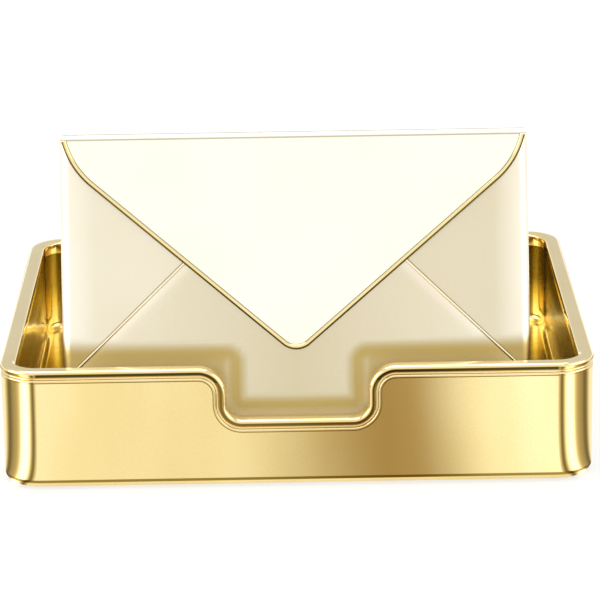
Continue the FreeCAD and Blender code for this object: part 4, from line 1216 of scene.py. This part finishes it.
@dataclass
class Studio:
    """Pale floor, soft light all round, cards that give the polished metal its edges, and the camera."""

    camera_place: tuple[float, float, float] = (-0.61, -1683.08, 613.67)
    pitch: float = 17.973
    yaw: float = 0.107
    roll: float = 0.912
    lens: float = 180.0
    sensor: float = 36.0
    # The corner cards: where they start, how far they reach in metres, how high they lie, how light their
    # bands are at which angles, and the tint of the bands that are darker than a span of light.
    apex: tuple[float, float] = (150.0, 104.5)
    reach: float = 0.3
    lift: float = 0.6
    bands: Pairs = (
        (4.0, 1.05), (9.5, 0.55), (12.5, 0.25), (14.5, 0.18), (18.0, 0.38), (21.0, 0.8), (24.0, 1.1), (28.0, 1.9),
        (32.0, 2.4), (46.0, 2.4), (51.0, 1.5), (55.0, 0.95), (60.0, 0.72), (65.0, 0.55), (72.0, 0.47),
        (82.0, 0.36), (90.0, 0.21), (96.0, 0.19), (102.0, 0.28), (108.0, 0.58), (120.0, 1.0))
    band_tint: str = "FFEEC2"
    tinted: tuple[float, float] = (0.6, 1.2)
    # The shaded cards: half their width, how light they are at which X, how each colour follows the light,
    # their size in metres, and how far off and how high they lie.
    slope_half: float = 200.0
    slope: Pairs = ((-200.0, 1.12), (-45.0, 0.98), (52.0, 0.44), (64.0, 0.46), (120.0, 1.15), (150.0, 1.3),
                    (200.0, 1.3))
    slope_powers: tuple[float, float, float] = (1.0, 1.3, 1.9)
    slope_size: tuple[float, float, float] = (0.33, 0.30, 1.0)
    slope_off: float = 280.0
    slope_lift: float = 0.3
    floor_size: float = 14.0
    floor_glow: float = 0.7
    sky_before: Pairs = ((0.0, 0.95), (0.2, 1.06), (0.45, 1.06), (0.75, 0.85))
    sky_behind: Pairs = ((0.0, 1.15), (0.2, 1.15), (0.26, 0.72), (0.42, 0.72), (0.7, 0.8))

    def build(self) -> None:
        """Sets the floor, the cards, the sky, the lamps and the camera."""
        self.floor()
        self.corner_cards()
        for side in Side:
            self.shaded_card(side)
        self.sky()
        self.lamp("top_softbox", (-0.15, 0.0, 2.2), (0.0, 0.0, 0.05), 1.9, 24.0)
        self.lamp("left_softbox", (-1.25, -0.5, 0.55), (0.0, 0.0, 0.08), 1.2, 6.8)
        self.lamp("right_softbox", (1.25, -0.5, 0.55), (0.0, 0.0, 0.08), 1.2, 4.4)
        self.camera()
        LOG.info("studio ready")

    def floor(self) -> None:
        """Pale floor that keeps the tray's shadow and shows white to the camera and in the metal."""
        bpy.ops.mesh.primitive_plane_add(size=self.floor_size, location=(0, 0, 0))
        floor = bpy.context.object
        floor.name = "studio_floor"
        material, nodes = fresh("pale_studio_floor")
        rays = nodes.add("LightPath").outputs
        seen = nodes.maths("MAXIMUM", rays["Is Camera Ray"], rays["Is Glossy Ray"])
        seen = nodes.maths("MAXIMUM", seen, rays["Is Transmission Ray"])
        paper = nodes.add("BsdfDiffuse", {"Color": linear("F4F4F2")}).outputs[0]
        glow = nodes.add("Emission", {"Color": linear("FFFFFF"), "Strength": 1.0}).outputs[0]
        nodes.surface("MixShader", {0: nodes.maths("MULTIPLY", seen, self.floor_glow), 1: paper, 2: glow})
        floor.data.materials.append(material)

    def lay(self, card: Object, material: Material) -> None:
        """Makes a card part of the stage, seen in polished metal alone."""
        card.data.materials.append(material)
        card.visible_camera = card.visible_diffuse = card.visible_shadow = False
        card.visible_transmission = card.visible_volume_scatter = False

    def corner_cards(self) -> None:
        """Lays a card in the shape of a fan at each corner, banded from straight ahead round to the side."""
        first, last = self.bands[0][0], self.bands[-1][0]
        centre = mm(-self.apex[0], -self.apex[1], self.lift)
        ahead = radians(first)
        pen = Pen("corner_cards", centre)
        pen.to(centre + Vector((-sin(ahead), -cos(ahead), 0)) * self.reach)
        pen.turn(centre, Axis.Z, first - last, 12)
        pen.to(centre)
        card = pen.fill().lift()
        finish_with(card, "MIRROR", use_axis=(True, True, False))
        material, nodes = fresh("banded_card")
        place = nodes.add("VectorMath", {0: nodes.place()}, operation="ABSOLUTE").outputs["Vector"]
        place = nodes.add("VectorMath", {0: place, 1: mm(*self.apex, 0)}, operation="SUBTRACT").outputs["Vector"]
        parts = nodes.parts(place)
        share = nodes.span(nodes.maths("ARCTAN2", parts["X"], parts["Y"]), ahead, radians(last))
        brightest = max(shade for angle, shade in self.bands)
        dim, light = self.tinted
        stops = []
        for angle, shade in self.bands:
            pure = clamp((shade - dim) / (light - dim))
            tint = [shade / brightest * (tone + (1 - tone) * pure) for tone in linear(self.band_tint)]
            stops.append(((angle - first) / (last - first), tint))
        nodes.surface("Emission", {"Color": nodes.ramp(share, stops), "Strength": brightest})
        self.lay(card, material)

    def shaded_card(self, side: Side) -> None:
        """Lays a card before the front or the back that shades from bright to warm grey and back."""
        bpy.ops.mesh.primitive_plane_add(size=1, location=mm(0, side.value * self.slope_off, self.slope_lift),
                                         rotation=(0, 0, pi if side is Side.RIGHT else 0))
        card = bpy.context.object
        card.name = side.name.lower() + "_shaded_card"
        card.scale = self.slope_size
        bpy.ops.object.transform_apply(location=False, rotation=False, scale=True)
        material = bpy.data.materials.get("shaded_card")
        if material is None:
            material, nodes = fresh("shaded_card")
            wide = self.slope_half
            share = nodes.span(nodes.parts(nodes.place())["X"], -wide * MM, wide * MM)
            stops = [((x + wide) / (2 * wide), (*(shade ** power for power in self.slope_powers), 1))
                     for x, shade in self.slope]
            nodes.surface("Emission", {"Color": nodes.ramp(share, stops, "EASE"), "Strength": 1.0})
        self.lay(card, material)

    def sky(self) -> None:
        """Soft light from all round: even before the tray, with a grey band behind it that models the rim."""
        world = bpy.data.worlds.new("soft_studio")
        bpy.context.scene.world = world
        nodes = Nodes(world)
        parts = nodes.parts(nodes.add("TexCoord").outputs["Generated"])
        before, behind = (nodes.ramp(parts["Z"], [(place, (light, light, light, 1)) for place, light in stops])
                          for stops in (self.sky_before, self.sky_behind))
        shade = nodes.mix(nodes.span(parts["Y"], 0.0, 0.5), before, behind)
        light, white = (nodes.add("Background", {"Color": colour, "Strength": 1.0}).outputs[0]
                        for colour in (shade, linear("FFFFFF")))
        seen = nodes.add("LightPath").outputs["Is Camera Ray"]
        nodes.surface("MixShader", {0: seen, 1: light, 2: white})

    def lamp(self, name: str, place: tuple[float, float, float], target: tuple[float, float, float],
             width: float, power: float) -> None:
        """Square softbox aimed at a point.

        Args:
            name: Name of the lamp.
            place: Where it hangs, in metres.
            target: What it is aimed at.
            width: Length of its side.
            power: Watts.
        """
        data = bpy.data.lights.new(name, "AREA")
        data.shape = "SQUARE"
        data.size = width
        data.energy = power
        lamp = bpy.data.objects.new(name, data)
        bpy.context.scene.collection.objects.link(lamp)
        lamp.location = place
        lamp.rotation_euler = (Vector(target) - Vector(place)).to_track_quat("-Z", "Y").to_euler()
        lamp.visible_camera = False

    def camera(self) -> None:
        """Long lens, about 18 degrees above the floor, in front of the tray."""
        pitch, yaw, roll = (radians(angle) for angle in (self.pitch, self.yaw, self.roll))
        ahead = Vector((sin(yaw) * cos(pitch), cos(yaw) * cos(pitch), -sin(pitch)))
        level = Vector((cos(yaw), -sin(yaw), 0))
        below = ahead.cross(level)
        right = cos(roll) * level + sin(roll) * below
        up = sin(roll) * level - cos(roll) * below
        data = bpy.data.cameras.new("camera")
        data.lens = self.lens
        data.sensor_width = self.sensor
        camera = bpy.data.objects.new("camera", data)
        bpy.context.scene.collection.objects.link(camera)
        camera.location = mm(*self.camera_place)
        camera.rotation_euler = Matrix((right, up, -ahead)).transposed().to_euler()
        bpy.context.scene.camera = camera


def main() -> None:
    """Builds the tray, the case, the flap and the studio, and sets the view transform."""
    logging.basicConfig(level=logging.INFO, format="%(name)s: %(message)s")
    shape = CaseShape()
    Tray().build()
    LetterCase(shape=shape).build()
    Flap(shape=shape).build()
    Studio().build()
    view = bpy.context.scene.view_settings
    view.view_transform = "Standard"
    LOG.info("sizes written")


if __name__ == "__main__":
    main()
